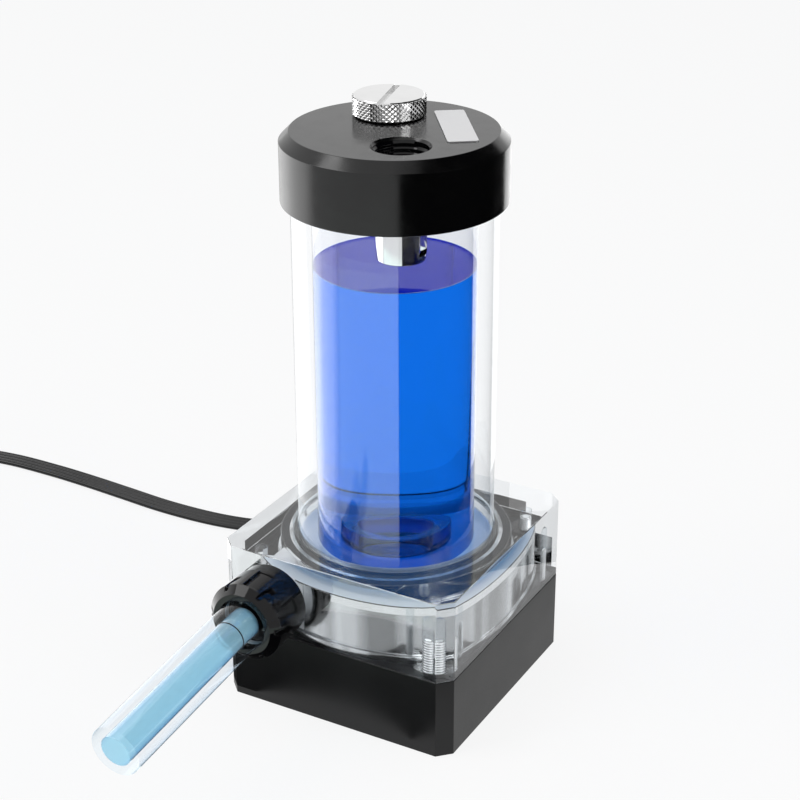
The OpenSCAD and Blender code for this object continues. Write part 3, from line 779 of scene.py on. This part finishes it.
def makeCornerScrews(s):
    r, h, neck, tip = s["shank"] / 2, s["head"] / 2, s["neck"], s["tip"]
    root = r - s["depth"]
    body = turned([
        (0, s["headLow"]), (h, s["headLow"], 0.35), (h, s["headHigh"], 0.12), (r, s["headHigh"]),
        (r, neck), (root, neck + 0.2), (root, tip - 0.35), (r - 0.6, tip), (0, tip),
    ], 48)
    body = carved(body, barrel(s["socket"] / 2, 0, s["headLow"] + s["socketDepth"], steps=6))
    ridge = thread(root, s["pitch"], s["turns"], 0.3, tip - 0.5 - s["pitch"] * s["turns"], 28)
    screw = moved(joined(body, ridge), Matrix.Translation((screwCircle, 0, 0)))
    screws = newPiece("cornerScrews", around(screw, 4, 45), "steel", ["corner_screws"], angle=40)
    # The thread's faces take the steel with painted shade lines in its grooves
    finishFaces(screws, ["steel_with_painted_thread_shade"], lambda at: "steel_with_painted_thread_shade" if at.z > neck + 0.05 else None)


makeHousing(baseEdges)
makeCornerScrews(screwSizes)
print("base made")


# Diameters, except where a name says otherwise; frosted is how deep the port's cut faces show
blockSizes = {
    "side": 65, "cut": 3.3, "low": 21.3, "high": 43.4, "edge": 0.3, "drum": 59.4, "drumTop": 37.1,
    "flange": 61.4, "flangeTop": 23.5, "seat": 50.1, "floor": 39.2, "seal": 53.2, "sealDepth": 1.5,
    "lip": 0.5, "spigot": 16.1, "screwHole": 3.2, "screwTop": 36.0, "drillPoint": 1.2,
    "spotFace": 8.4, "spotDepth": 0.8,
    "port": 13.16, "portDepth": 4.2, "portChamfer": 0.6, "passage": 8.4, "passageEnd": 33, "frosted": 9.5,
}
outletSizes = {"side": -17, "face": -32.5, "height": 31.6}
outlet = (Matrix.Translation((outletSizes["side"], outletSizes["face"], outletSizes["height"]))
          @ Matrix.Rotation(math.radians(90), 4, "X"))


def makeBlock(s):
    low, high, past = s["low"], s["high"], 1.0
    seat, seal, drum, flange, spigot, port, passage = (
        s[k] / 2 for k in ("seat", "seal", "drum", "flange", "spigot", "port", "passage"))
    sealHigh = high - s["lip"]
    sealLow = high - s["sealDepth"] - s["lip"]
    body = plate(squareOutline(s["side"], s["cut"]), low, high, s["edge"], True)
    recess = turned([
        (0, low - past), (flange, low - past), (flange, s["flangeTop"], 0.2), (drum, s["flangeTop"], 0.2),
        (drum, s["drumTop"], 0.5), (spigot, s["drumTop"]), (spigot, s["floor"]), (seat, s["floor"], 0.3),
        (seat, sealLow), (seal, sealLow, 0.25), (seal, sealHigh, 0.25), (seat, sealHigh),
        (seat, high - 0.2), (seat + 0.3, high + 0.1), (seat + 0.3, high + past), (0, high + past),
    ], 192)
    spotFace, spotTop, bore = s["spotFace"] / 2, low + s["spotDepth"], s["screwHole"] / 2
    hole = turned([
        (0, low - past), (spotFace, low - past), (spotFace, spotTop, 0.15), (bore, spotTop),
        (bore, s["screwTop"]), (0, s["screwTop"] + s["drillPoint"]),
    ], 48)
    holes = around(moved(hole, Matrix.Translation((screwCircle, 0, 0))), 4, 45)
    mouth = port + s["portChamfer"]
    way = moved(turned([
        (0, -s["passageEnd"]), (passage, -s["passageEnd"]), (passage, -s["portDepth"]),
        (port, -s["portDepth"], 0.15), (port, -0.5), (mouth, 0.1), (mouth, 2), (0, 2),
    ], 96), outlet)
    block = newPiece("clearBlock", carved(body, recess, holes, way), "clear_acrylic", ["clear_block"])

    def finishOf(at):
        inPort = outlet.inverted() @ at
        if inPort.xy.length < mouth + 0.1 and -s["frosted"] < inPort.z < -0.05:
            return "cut_acrylic"
        if abs(at.z - s["drumTop"]) < 0.05 and at.xy.length < drum:
            return "acrylic_ceiling"
        if abs(at.z - s["floor"]) < 0.05 and spigot + 0.95 < at.xy.length < seat + 0.1:
            return "cut_acrylic"

    finishFaces(block, ["acrylic_ceiling", "cut_acrylic"], finishOf)


# Radii; the seal's groove lies in the top, and the band and the ring inside the shoulder stay bright
voluteSizes = {
    "radius": 29.5, "flange": 30.5, "low": 21.3, "high": 37.0, "flangeTop": 23.3, "band": 34.7,
    "shoulder": 27.4, "grooveOuter": 26.35, "grooveInner": 24.65, "grooveDepth": 1.45, "chamber": 19.7,
    "offset": -1.5,
    "roof": 1.8, "inlet": 8.1, "passage": 4.2, "passageEnd": -30.5,
}


def makeVolute(s):
    low, high, past, grooveFloor = s["low"], s["high"], 1.0, s["high"] - s["grooveDepth"]
    body = turned([
        (0, low), (s["flange"], low), (s["flange"], s["flangeTop"], 0.3), (s["radius"], s["flangeTop"], 0.4),
        (s["radius"], s["band"]), (s["radius"], high, 0.25), (s["shoulder"], high), (s["grooveOuter"], high),
        (s["grooveOuter"], grooveFloor), (s["grooveInner"], grooveFloor), (s["grooveInner"], high), (0, high),
    ], 192)
    chamber = barrel(s["chamber"], low - past, high - s["roof"], steps=128)
    chamber = moved(chamber, Matrix.Translation((s["offset"], 0, 0)))
    inlet = barrel(s["inlet"], low, high + past)
    axis = Matrix.Translation((outletSizes["side"], 0, outletSizes["height"]))
    way = moved(barrel(s["passage"], s["passageEnd"], 0), axis @ Matrix.Rotation(math.radians(-90), 4, "X"))
    body = carved(body, chamber, inlet, way)
    volute = newPiece("voluteHousing", body, "satin_aluminium", ["volute_housing"])

    def finishOf(at):
        if at.z > high - 0.3 and at.xy.length > s["inlet"] + 0.1:
            bright = s["grooveOuter"] + 0.05 < at.xy.length < s["shoulder"]
            return None if bright else "black_anodised"
        if (outlet.inverted() @ at).xy.length < s["passage"] + 0.1:
            return "ceramic"
        if at.z > s["band"] and at.xy.length > s["radius"] - 0.5:
            return "polished_chrome"

    finishFaces(volute, ["black_anodised", "polished_chrome", "ceramic"], finishOf)


makeBlock(blockSizes)
makeVolute(voluteSizes)
print("clear block and volute made")


tubeSizes = {"outer": 25.0, "inner": 20.0, "low": 39.3, "foot": 43.3, "high": 138.0, "chamfer": 0.4}
coolantSizes = {
    "radius": 19.95, "low": 39.23, "top": 113.1, "collarOuter": 10.05, "collarBore": 6.8,
    "collarTop": 44.25, "foot": 37.05, "meniscus": 0.35,
    "ridges": (1.6, 4.4), "ridgeWidth": 1.6, "ridgeSlope": 0.4, "ridgeHeight": 0.4,
}
intakeSizes = {"outer": 10.0, "bore": 6.85, "spigot": 8.0, "low": 35.3, "floor": 39.2, "top": 44.2}


def makeTube(s):
    outer, inner, low, foot, high = (s[k] for k in ("outer", "inner", "low", "foot", "high"))
    tube = newPiece("reservoirTube", turned([
        (inner, low, 0.4), (outer, low, 0.6), (outer, foot), (outer, high, s["chamfer"]), (inner, high, 0.3),
        (inner, foot),
    ], 192), "clear_tube", ["reservoir_tube"])
    finishFaces(tube, ["tube_foot"], lambda at: "tube_foot" if at.z < foot else None)


def makeCoolant(s):
    r, m, foot, top, collarTop = (s[k] for k in ("radius", "meniscus", "foot", "top", "collarTop"))
    crest, slope = foot + s["ridgeHeight"], s["ridgeSlope"]
    outline = [(0, foot)]
    for start in s["ridges"]:
        end = start + s["ridgeWidth"]
        outline += [(start, foot), (start + slope, crest), (end - slope, crest), (end, foot)]
    outline += [
        (s["collarBore"], foot), (s["collarBore"], collarTop), (s["collarOuter"], collarTop),
        (s["collarOuter"], s["low"]), (r, s["low"], 0.3), (r, top + m), (r - 0.12, top + m),
        (r - 0.35, top + 0.3 * m), (r - 0.9, top), (r - 1.1, top), (0, top),
    ]
    filling = newPiece("coolantFilling", turned(outline, 192), "blue_coolant", ["coolant"], angle=50)

    def finishOf(at):
        if at.z > top - 0.1 and at.xy.length < r - 0.1:
            return "coolant_top"
        if at.z < foot + 0.5 and at.xy.length < s["collarBore"]:
            return "inlet_coolant"
        if at.z < collarTop + 0.1 and at.xy.length < r - 0.1:
            return "coolant_foot"

    finishFaces(filling, ["coolant_foot", "coolant_top", "inlet_coolant"], finishOf)


def makeIntake(s):
    newPiece("intakeCollar", turned([
        (s["bore"], s["low"], 0.2), (s["spigot"], s["low"], 0.2), (s["spigot"], s["floor"]),
        (s["outer"], s["floor"]), (s["outer"], s["top"], 0.4), (s["bore"], s["top"], 0.5),
    ], 128), "blue_tinted_acrylic", ["intake_collar"])


# Each seal's middle radius, its section's diameter and its middle height
sealSizes = {
    "lowerTubeSeal": {"node": "lower_tube_seal", "radius": 25.78, "section": 1.4, "height": 42.15},
    "upperTubeSeal": {"node": "upper_tube_seal", "radius": 25.55, "section": 1.0, "height": 134.0},
    "voluteSeal": {"node": "volute_seal", "radius": 25.5, "section": 1.44, "height": 36.33},
    "plugSeal": {"node": "fill_plug_seal", "radius": 7.6, "section": 1.4, "height": 147.8},
    "fittingSeal": {"node": "fitting_seal", "radius": 7.58, "section": 1.2, "height": 0.6},
}


def makeSeal(name, finish="seal_rubber", place=None, body="base"):
    s = sealSizes[name]
    half = s["section"] / 2
    turns = [2 * math.pi * i / 20 for i in range(20)]
    outline = [(s["radius"] + half * math.cos(a), s["height"] + half * math.sin(a)) for a in turns]
    newPiece(name, turned(outline, 128), finish, [s["node"]], place=place, angle=80, body=body)


makeTube(tubeSizes)
makeCoolant(coolantSizes)
makeIntake(intakeSizes)
makeSeal("lowerTubeSeal", "clear_silicone")
makeSeal("upperTubeSeal")
makeSeal("voluteSeal")
print("reservoir made")


capSizes = {
    "radius": 27.35, "low": 129.9, "top": 147.05, "bevel": 2.45, "socket": 25.05, "ceiling": 138.1,
    "grooveLow": 133.45, "grooveHigh": 134.55, "grooveDepth": 1.05, "port": 6.58, "chamfer": 0.6,
    "return": 13.9, "returnFoot": 140.6, "returnBore": 5.8, "fill": -11.8, "threadLow": 141.2,
    "threadTurns": 3.6,
}
portFrame = Matrix.Rotation(math.radians(-portTurn), 4, "Z")


def portPlace(offset):
    return portFrame @ Matrix.Translation((offset, 0, 0))


def makeCap(s):
    r, low, top, bevel, socket = (s[k] for k in ("radius", "low", "top", "bevel", "socket"))
    groove, grooveLow, grooveHigh = socket + s["grooveDepth"], s["grooveLow"], s["grooveHigh"]
    body = turned([
        (0, top), (r - bevel, top, 0.25), (r, top - bevel, 0.25), (r, low, 0.3), (socket, low, 0.25),
        (socket, grooveLow), (groove, grooveLow), (groove, grooveHigh), (socket, grooveHigh),
        (socket, s["ceiling"]), (0, s["ceiling"]),
    ], 256)
    port, mouth = s["port"], s["port"] + s["chamfer"]
    cutters = []
    for offset, foot in ((s["return"], s["returnFoot"]), (s["fill"], low)):
        cutters.append(moved(turned([
            (0, foot), (port, foot), (port, top - s["chamfer"]), (mouth, top, 0.1), (mouth, top + 1),
            (0, top + 1),
        ], 96), portPlace(offset)))
    cutters.append(moved(barrel(s["returnBore"], low, s["returnFoot"] + 0.4), portPlace(s["return"])))
    ridge = moved(
        thread(port + 0.1, gasPitch, s["threadTurns"], 0.62, s["threadLow"], 72), portPlace(s["return"]))
    newPiece("cap", carved(body, *cutters), "satin_black", ["cap"])
    newPiece("returnPortThread", ridge, "gloss_black", angle=60)


sleeveSizes = {
    "radius": 6.0, "bore": 4.5, "low": 120.0, "shoulder": 138.1, "rebate": 0.25, "top": 140.5,
    "window": 2.2, "windowLow": 1.6, "windowHigh": 7.6, "windowTurn": 60,
}


def makeSleeve(s):
    r, bore, low, shoulder, top, half = (
        s[k] for k in ("radius", "bore", "low", "shoulder", "top", "window"))
    neck = r - s["rebate"]
    body = turned([
        (bore, low, 0.25), (r, low, 0.35), (r, shoulder), (neck, shoulder), (neck, top, 0.2),
        (bore, top, 0.2),
    ], 128)
    window = plate(
        [(0, -half), (r + 2, -half), (r + 2, half), (0, half)], low + s["windowLow"], low + s["windowHigh"])
    body = carved(body, moved(window, Matrix.Rotation(math.radians(s["windowTurn"]), 4, "Z")))
    newPiece(
        "returnSleeve", body, "polished_chrome", ["return_sleeve"], place=portPlace(capSizes["return"]))


labelSizes = {"length": 25.6, "width": 7.3, "corner": 0.8, "low": 147.05, "high": 147.35, "side": 14.5}


def makeLabel(s):
    a, b, c = s["length"] / 2, s["width"] / 2, s["corner"]
    outline = [tuple(p) for p in soften([(-a, -b, c), (a, -b, c), (a, b, c), (-a, b, c)], 8)]
    newPiece("labelPlate", plate(outline, s["low"], s["high"], 0.06), "satin_silver", ["label_plate"],
             place=portFrame @ Matrix.Translation((0, s["side"], 0)))


plugSizes = {
    "radius": 9.0, "low": 147.3, "high": 152.25, "shank": 6.5, "foot": 139.05, "thread": 0.62,
    "threadTurns": 5.2, "neck": 6.8, "groove": 8.4, "grooveDepth": 1.4, "slot": 1.6, "slotDepth": 1.5,
    "slotTurn": 105, "columns": 40, "rows": 8, "rowPitch": 0.6, "knurl": 0.5,
}


def makePlug(s):
    core, low, high, foot, neck = s["radius"] - s["knurl"], s["low"], s["high"], s["foot"], s["neck"]
    root, grooveTop = s["shank"] - s["thread"], low + s["grooveDepth"]
    body = turned([
        (0, foot), (s["shank"] - 1, foot, 0.3), (root, foot + 0.5), (root, low + 0.1), (neck, low + 0.1),
        (neck, grooveTop), (s["groove"], grooveTop), (s["groove"], low), (core, low, 0.1),
        (core + 0.12, low + 0.25), (core + 0.12, high - 0.55), (core - 0.1, high, 0.3), (0, high),
    ], 144)
    half, reach = s["slot"] / 2, 12
    slot = plate(
        [(-reach, -half), (reach, -half), (reach, half), (-reach, half)], high - s["slotDepth"], high + 2)
    body = carved(body, moved(slot, Matrix.Rotation(math.radians(s["slotTurn"] + portTurn), 4, "Z")))
    spikes = grown(knurlTree, {
        "Columns": s["columns"], "Rows": s["rows"], "Radius": core + 0.02, "Row Pitch": s["rowPitch"],
        "Depth": s["knurl"] - 0.02, "Start": low + 0.4})
    for height, way in ((low + 0.12, -1), (high - 0.35, 1)):
        cut = bmesh.ops.bisect_plane(
            spikes, geom=spikes.verts[:] + spikes.edges[:] + spikes.faces[:], dist=1e-6,
            plane_co=(0, 0, height), plane_no=(0, 0, way), clear_outer=True)
        rim = [e for e in cut["geom_cut"] if isinstance(e, bmesh.types.BMEdge)]
        bmesh.ops.edgeloop_fill(spikes, edges=rim)
    ridge = thread(root, gasPitch, s["threadTurns"], s["thread"], foot + 0.7, 72)
    newPiece("fillPlug", joined(body, spikes, ridge), "polished_chrome", ["fill_plug"],
             place=portPlace(capSizes["fill"]), body="plug", angle=20)


makeCap(capSizes)
makeSleeve(sleeveSizes)
makeLabel(labelSizes)
makePlug(plugSizes)
makeSeal("plugSeal", place=portPlace(capSizes["fill"]), body="plug_seal")
print("cap, ports and plug made")


# Heights from here on run outwards along the outlet, from the block's face
fittingSizes = {
    "thread": 6.5, "threadLength": 4, "threadTurns": 2.4,
    "sealInner": 6.78, "sealOuter": 8.38, "sealDepth": 1.25,
    "shoulder": 9.65, "shoulderLength": 4.0, "nose": 8.2, "noseEnd": 9.5, "barb": 3.95, "barbEnd": 13.0,
    "bore": 2.9,
}
# Between two grip grooves lies a slanted wedge; an edge is two numbers, its place round the collar where
# the wedge starts and how far it has run on where the wedge ends
collarSizes = {
    "radius": 10.2, "start": 4.15, "end": 14.3, "bevel": 2.0, "mouth": 6.58, "nose": 8.28, "cone": 8.05,
    "coneLow": 9.65, "coneHigh": 11.65, "grooves": 6, "grooveWidth": 4.6, "depth": 0.8, "first": 0.35,
    "grooveEnd": 11.9, "wedgeStart": 4.2, "wedgeLength": 5.5, "wedgeDepth": 1.1,
    "lowEdge": (-0.4, 1.6), "highEdge": (1.7, 0.9), "side": 0.28, "foot": 0.3, "rim": 0.25,
}
hoseSizes = {
    "outer": 6.5, "inner": 4.0, "start": 9.6, "bend": 15.6, "turn": 6.0, "straight": 50.0, "arc": 6.0,
    "ring": 19.4, "ringHalf": 0.2, "ringDepth": 0.16, "coolantStart": 13.1, "coolantGap": 0.05,
}
slipRingSizes = {"inner": 6.58, "outer": 7.75, "low": 9.95, "high": 11.45}


def makeFitting(s):
    root, sealInner, sealOuter, sealDepth = (
        s["thread"] - 0.6, s["sealInner"], s["sealOuter"], s["sealDepth"])
    bore, barb, nose, shoulder = (s[k] for k in ("bore", "barb", "nose", "shoulder"))
    body = turned([
        (bore, -s["threadLength"], 0.2), (root, -s["threadLength"], 0.3), (root, 0), (sealInner, 0),
        (sealInner, sealDepth), (sealOuter, sealDepth), (sealOuter, 0), (shoulder, 0, 0.2),
        (shoulder, s["shoulderLength"], 0.35), (nose, s["shoulderLength"]), (nose, s["noseEnd"], 0.3),
        (barb, s["noseEnd"]), (barb, s["barbEnd"] - 0.8), (barb - 0.5, s["barbEnd"], 0.1),
        (bore, s["barbEnd"], 0.1),
    ], 128)
    ridge = thread(s["thread"] - 0.62, gasPitch, s["threadTurns"], 0.6, 0.4 - s["threadLength"], 72)
    newPiece("outletFitting", joined(body, ridge), "gloss_black", ["outlet_fitting"], place=outlet)


def ramp(x):
    x = max(0.0, min(1.0, x))
    return x * x * (3 - 2 * x)


# The collar's radius at an angle and a height, with its grip grooves and the wedges between them
def gripShape(s):
    step, mouthRadius, side = 2 * math.pi / s["grooves"], s["radius"] - s["bevel"], s["side"]

    def shape(radius, height, angle):
        inside = height < s["start"] + 0.01 and radius < s["nose"] + 0.01
        if radius < mouthRadius - 0.01 or inside:
            return radius
        turn = (angle / step - s["first"]) % 1.0
        off = (turn if turn < 0.5 else turn - 1) * step * s["radius"]
        groove = ramp((s["grooveWidth"] / 2 + 0.12 - abs(off)) / side)
        groove = s["depth"] * groove * ramp((s["grooveEnd"] + 0.1 - height) / s["foot"])
        along = (height - (s["end"] - s["bevel"] - s["wedgeStart"])) / s["wedgeLength"]
        mid = (turn - 0.5) * step * s["radius"]
        low, high = (edge[0] + edge[1] * along for edge in (s["lowEdge"], s["highEdge"]))
        wedge = ramp((mid - low) / side) * ramp((high - mid) / side)
        wedge = wedge * ramp(along * s["wedgeLength"] / s["foot"])
        floor = min(radius, s["radius"] - s["wedgeDepth"])
        return min(radius - groove, radius + (floor - radius) * wedge)

    return shape


def makeCollar(s):
    r, start, end, bevel, rim = (s[k] for k in ("radius", "start", "end", "bevel", "rim"))
    wall = [(r, start + rim + (end - bevel - start - rim) * i / 44) for i in range(45)]
    slope = [(r - bevel * i / 12, end - bevel + bevel * i / 12) for i in range(1, 12)]
    body = turned([
        (s["nose"], start), (r - rim, start), *wall, *slope, (r - bevel, end, 0.15), (s["mouth"], end, 0.3),
        (s["mouth"], s["coneHigh"]), (s["cone"], s["coneHigh"]), (s["cone"], s["coneLow"]),
        (s["nose"], s["coneLow"]),
    ], 432, gripShape(s))
    newPiece("compressionCollar", body, "gloss_black", ["compression_collar"],
             place=outlet, body="collar", angle=32)


# Bends a straight bar smoothly downwards past a height
def bent(bm, s):
    turn, arc = math.radians(s["turn"]), s["arc"]
    start, bend = s["bend"] - arc / 2, arc / turn
    for vert in bm.verts:
        x, y, z = vert.co
        if z > start:
            angle = min((z - start) / bend, turn)
            extra = max(0.0, z - start - arc)
            vert.co = (
                x, -bend + (bend + y) * math.cos(angle) - extra * math.sin(angle),
                start + (bend + y) * math.sin(angle) + extra * math.cos(angle))
    return bm


def makeHose(s):
    end = s["bend"] + s["straight"] - 0.02
    levels = [s["bend"] - s["arc"] / 2 + s["arc"] * i / 10 for i in range(11)]
    outer, inner = s["outer"], s["inner"]
    hose = turned([
        (inner, s["start"], 0.1), (outer, s["start"], 0.2), *[(outer, z) for z in levels], (outer, end, 0.15),
        (inner, end, 0.15), *[(inner, z) for z in reversed(levels)],
    ], 128)
    newPiece("outletHose", bent(hose, s), "clear_hose", ["outlet_tube"], place=outlet, angle=35)
    bore, half = inner + 0.02, s["ringHalf"]
    line = [(bore, s["ring"] - half), (inner + s["ringDepth"], s["ring"]), (bore, s["ring"] + half)]
    newPiece("hoseInsertRing", bent(turned(line, 96), s), "seal_rubber", place=outlet, angle=60)
    fill, start = inner - s["coolantGap"], s["coolantStart"]
    core = turned([(0, start), (fill, start), *[(fill, z) for z in levels], (fill, end, 0.3), (0, end)], 96)
    newPiece("outletCoolant", bent(core, s), "pale_coolant", ["outlet_coolant"], place=outlet, angle=35)


def makeSlipRing(s):
    newPiece("slipRing", turned([
        (s["inner"], s["low"], 0.1), (s["outer"], s["low"], 0.15), (s["outer"], s["high"], 0.15),
        (s["inner"], s["high"], 0.1),
    ], 96), "white_plastic", ["collar_slip_ring"], place=outlet, body="collar_ring")


makeFitting(fittingSizes)
makeCollar(collarSizes)
makeHose(hoseSizes)
makeSlipRing(slipRingSizes)
makeSeal("fittingSeal", place=outlet)
print("outlet made")


leadEndEdges = {"grommet": 0.2, "connector": 0.18}
grommet = easedCopy("lead_grommet", leadEndEdges["grommet"])
newPiece("leadGrommet", grommet, "seal_rubber", ["lead_grommet"])
connector = easedCopy("lead_connector", leadEndEdges["connector"])
newPiece("leadConnector", connector, "black_plastic", ["lead_connector"])
print("lead's ends made")


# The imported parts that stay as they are, hidden inside, and their finishes
innerFinishes = {
    "circuit_board": "green_board", "board_parts": "black_plastic", "stator_core": "lamination",
    "stator_coils": "copper", "separating_cup": "black_plastic", "cup_seal": "seal_rubber",
    "rotor_shaft": "ceramic", "thrust_washer": "ceramic", "impeller": "dark_plastic",
    "rotor_magnet": "magnet", "rotor_bush": "ceramic",
}
for name, finish in innerFinishes.items():
    for place in nodes[name].material_slots:
        place.material = finishes[finish]
print("inner parts finished")


stageSizes = {"floor": 6.0, "level": 0.85}  # the floor's side in metres, and how much of it shows as white


def makeFloor(s):
    bm = bmesh.new()
    half = s["floor"] / 2
    corners = ((-half, -half), (half, -half), (half, half), (-half, half))
    bm.faces.new([bm.verts.new((x, y, 0)) for x, y in corners])
    floor = asObject("floor", bm)
    made, g = emptyMaterial("pale floor")
    matt = g.node("ShaderNodeBsdfDiffuse", None, {"Color": (0.9, 0.9, 0.9)})
    glow = g.node("ShaderNodeEmission", None, {"Color": (1, 1, 1), "Strength": 1.0})
    g.surface(g.mixed(g.seen() * s["level"], matt, glow))
    floor.data.materials.append(made)


def makeWorld():
    world = bpy.data.worlds.new("studio")
    bpy.context.scene.world = world
    world.use_nodes = True
    g = Graph(world.node_tree)
    soft = g.node("ShaderNodeBackground", None, {"Color": (0.93, 0.96, 1.0), "Strength": 0.55})
    white = g.node("ShaderNodeBackground", None, {"Color": (1, 1, 1), "Strength": 1.0})
    g.surface(g.mixed(g.seen(), soft, white), "World Output")


# Soft rectangular lamps, each looking at a point; sizes in metres and power in watts
lampSizes = {
    "keyLamp": {"place": (-0.75, -0.65, 1.0), "target": (0, 0, 0.06), "size": (0.7, 0.7), "power": 6},
    "sideLamp": {"place": (0.9, -0.1, 0.5), "target": (0, 0, 0.05), "size": (0.5, 0.6), "power": 3},
}


def makeLamp(name, s):
    data = bpy.data.lights.new(name, "AREA")
    data.shape = "RECTANGLE"
    data.size, data.size_y = s["size"]
    data.energy = s["power"]
    lamp = bpy.data.objects.new(name, data)
    place = Vector(s["place"])
    way = Vector(s["target"]) - place
    lamp.matrix_world = Matrix.Translation(place) @ way.to_track_quat("-Z", "Y").to_matrix().to_4x4()
    lamp.visible_camera = False
    bpy.context.scene.collection.objects.link(lamp)


# Curved studio cards that only mirrors see: a profile of (radius, height) swept between two angles;
# each stop is an angle and the card's strength there
cardSizes = {
    "darkCard": {"stops": [(-57, 0), (68.5, 0)],
                 "profile": [(0.08, 0.003), (0.2, 0.2), (0.28, 0.45), (0.25, 0.75)]},
    "leftCard": {"stops": [(-142, 1.5), (-57, 1.5)], "profile": [(0.08, 0.003), (0.33, 0.003)],
                 "tint": (0.9, 1.03, 0.97)},
    "brightCard": {"stops": [(-215, 1.3), (-186, 2.6), (-153, 2.6), (-142, 1.2)],
                   "profile": [(0.08, 0.004), (0.2, 0.08), (0.2, 0.15)]},
    "rimCard": {"stops": [(69, 1.8), (110, 1.8)], "profile": [(0.12, 0.004), (0.3, 0.08), (0.3, 0.2)]},
    "greyCard": {"stops": [(-150, 0.02), (-57, 0.02)], "profile": [(0.04, 0.002), (0.08, 0.002)]},
}


def makeCard(name, s):
    bm = bmesh.new()
    steps, first, last = 48, s["stops"][0][0], s["stops"][-1][0]
    rows = []
    for radius, height in s["profile"]:
        angles = [math.radians(first + (last - first) * i / steps) for i in range(steps + 1)]
        rows.append([bm.verts.new((radius * math.cos(a), radius * math.sin(a), height)) for a in angles])
    for low, high in zip(rows, rows[1:]):
        for i in range(steps):
            bm.faces.new((low[i], low[i + 1], high[i + 1], high[i]))
    card = asObject(name, bm)
    made, g = emptyMaterial(name)
    split = g.node("ShaderNodeSeparateXYZ", None, {0: g.place()})
    centre = math.radians((first + last) / 2)
    ahead = split * math.cos(centre) + g.also(split, 1) * math.sin(centre)
    aside = g.also(split, 1) * math.cos(centre) - split * math.sin(centre)
    turn = g.maths("ARCTAN2", aside, ahead)
    level = s["stops"][0][1]
    for (a, low), (b, high) in zip(s["stops"], s["stops"][1:]):
        edges = [math.radians(v) - centre for v in (a, b)]
        level = level + g.spread(turn, *edges, 0.0, high - low)
    glow = g.node("ShaderNodeEmission", None, {"Color": s.get("tint", (1, 1, 1)), "Strength": level})
    g.surface(g.mixed(metAlready(g, 2), glow, g.clear()))
    card.data.materials.append(made)
    card.visible_camera = card.visible_diffuse = card.visible_transmission = card.visible_shadow = False


makeFloor(stageSizes)
makeWorld()
for name, sizes in cardSizes.items():
    makeCard(name, sizes)
for name, sizes in lampSizes.items():
    makeLamp(name, sizes)
print("floor and light made")

bpy.context.scene.view_settings.view_transform = "Standard"
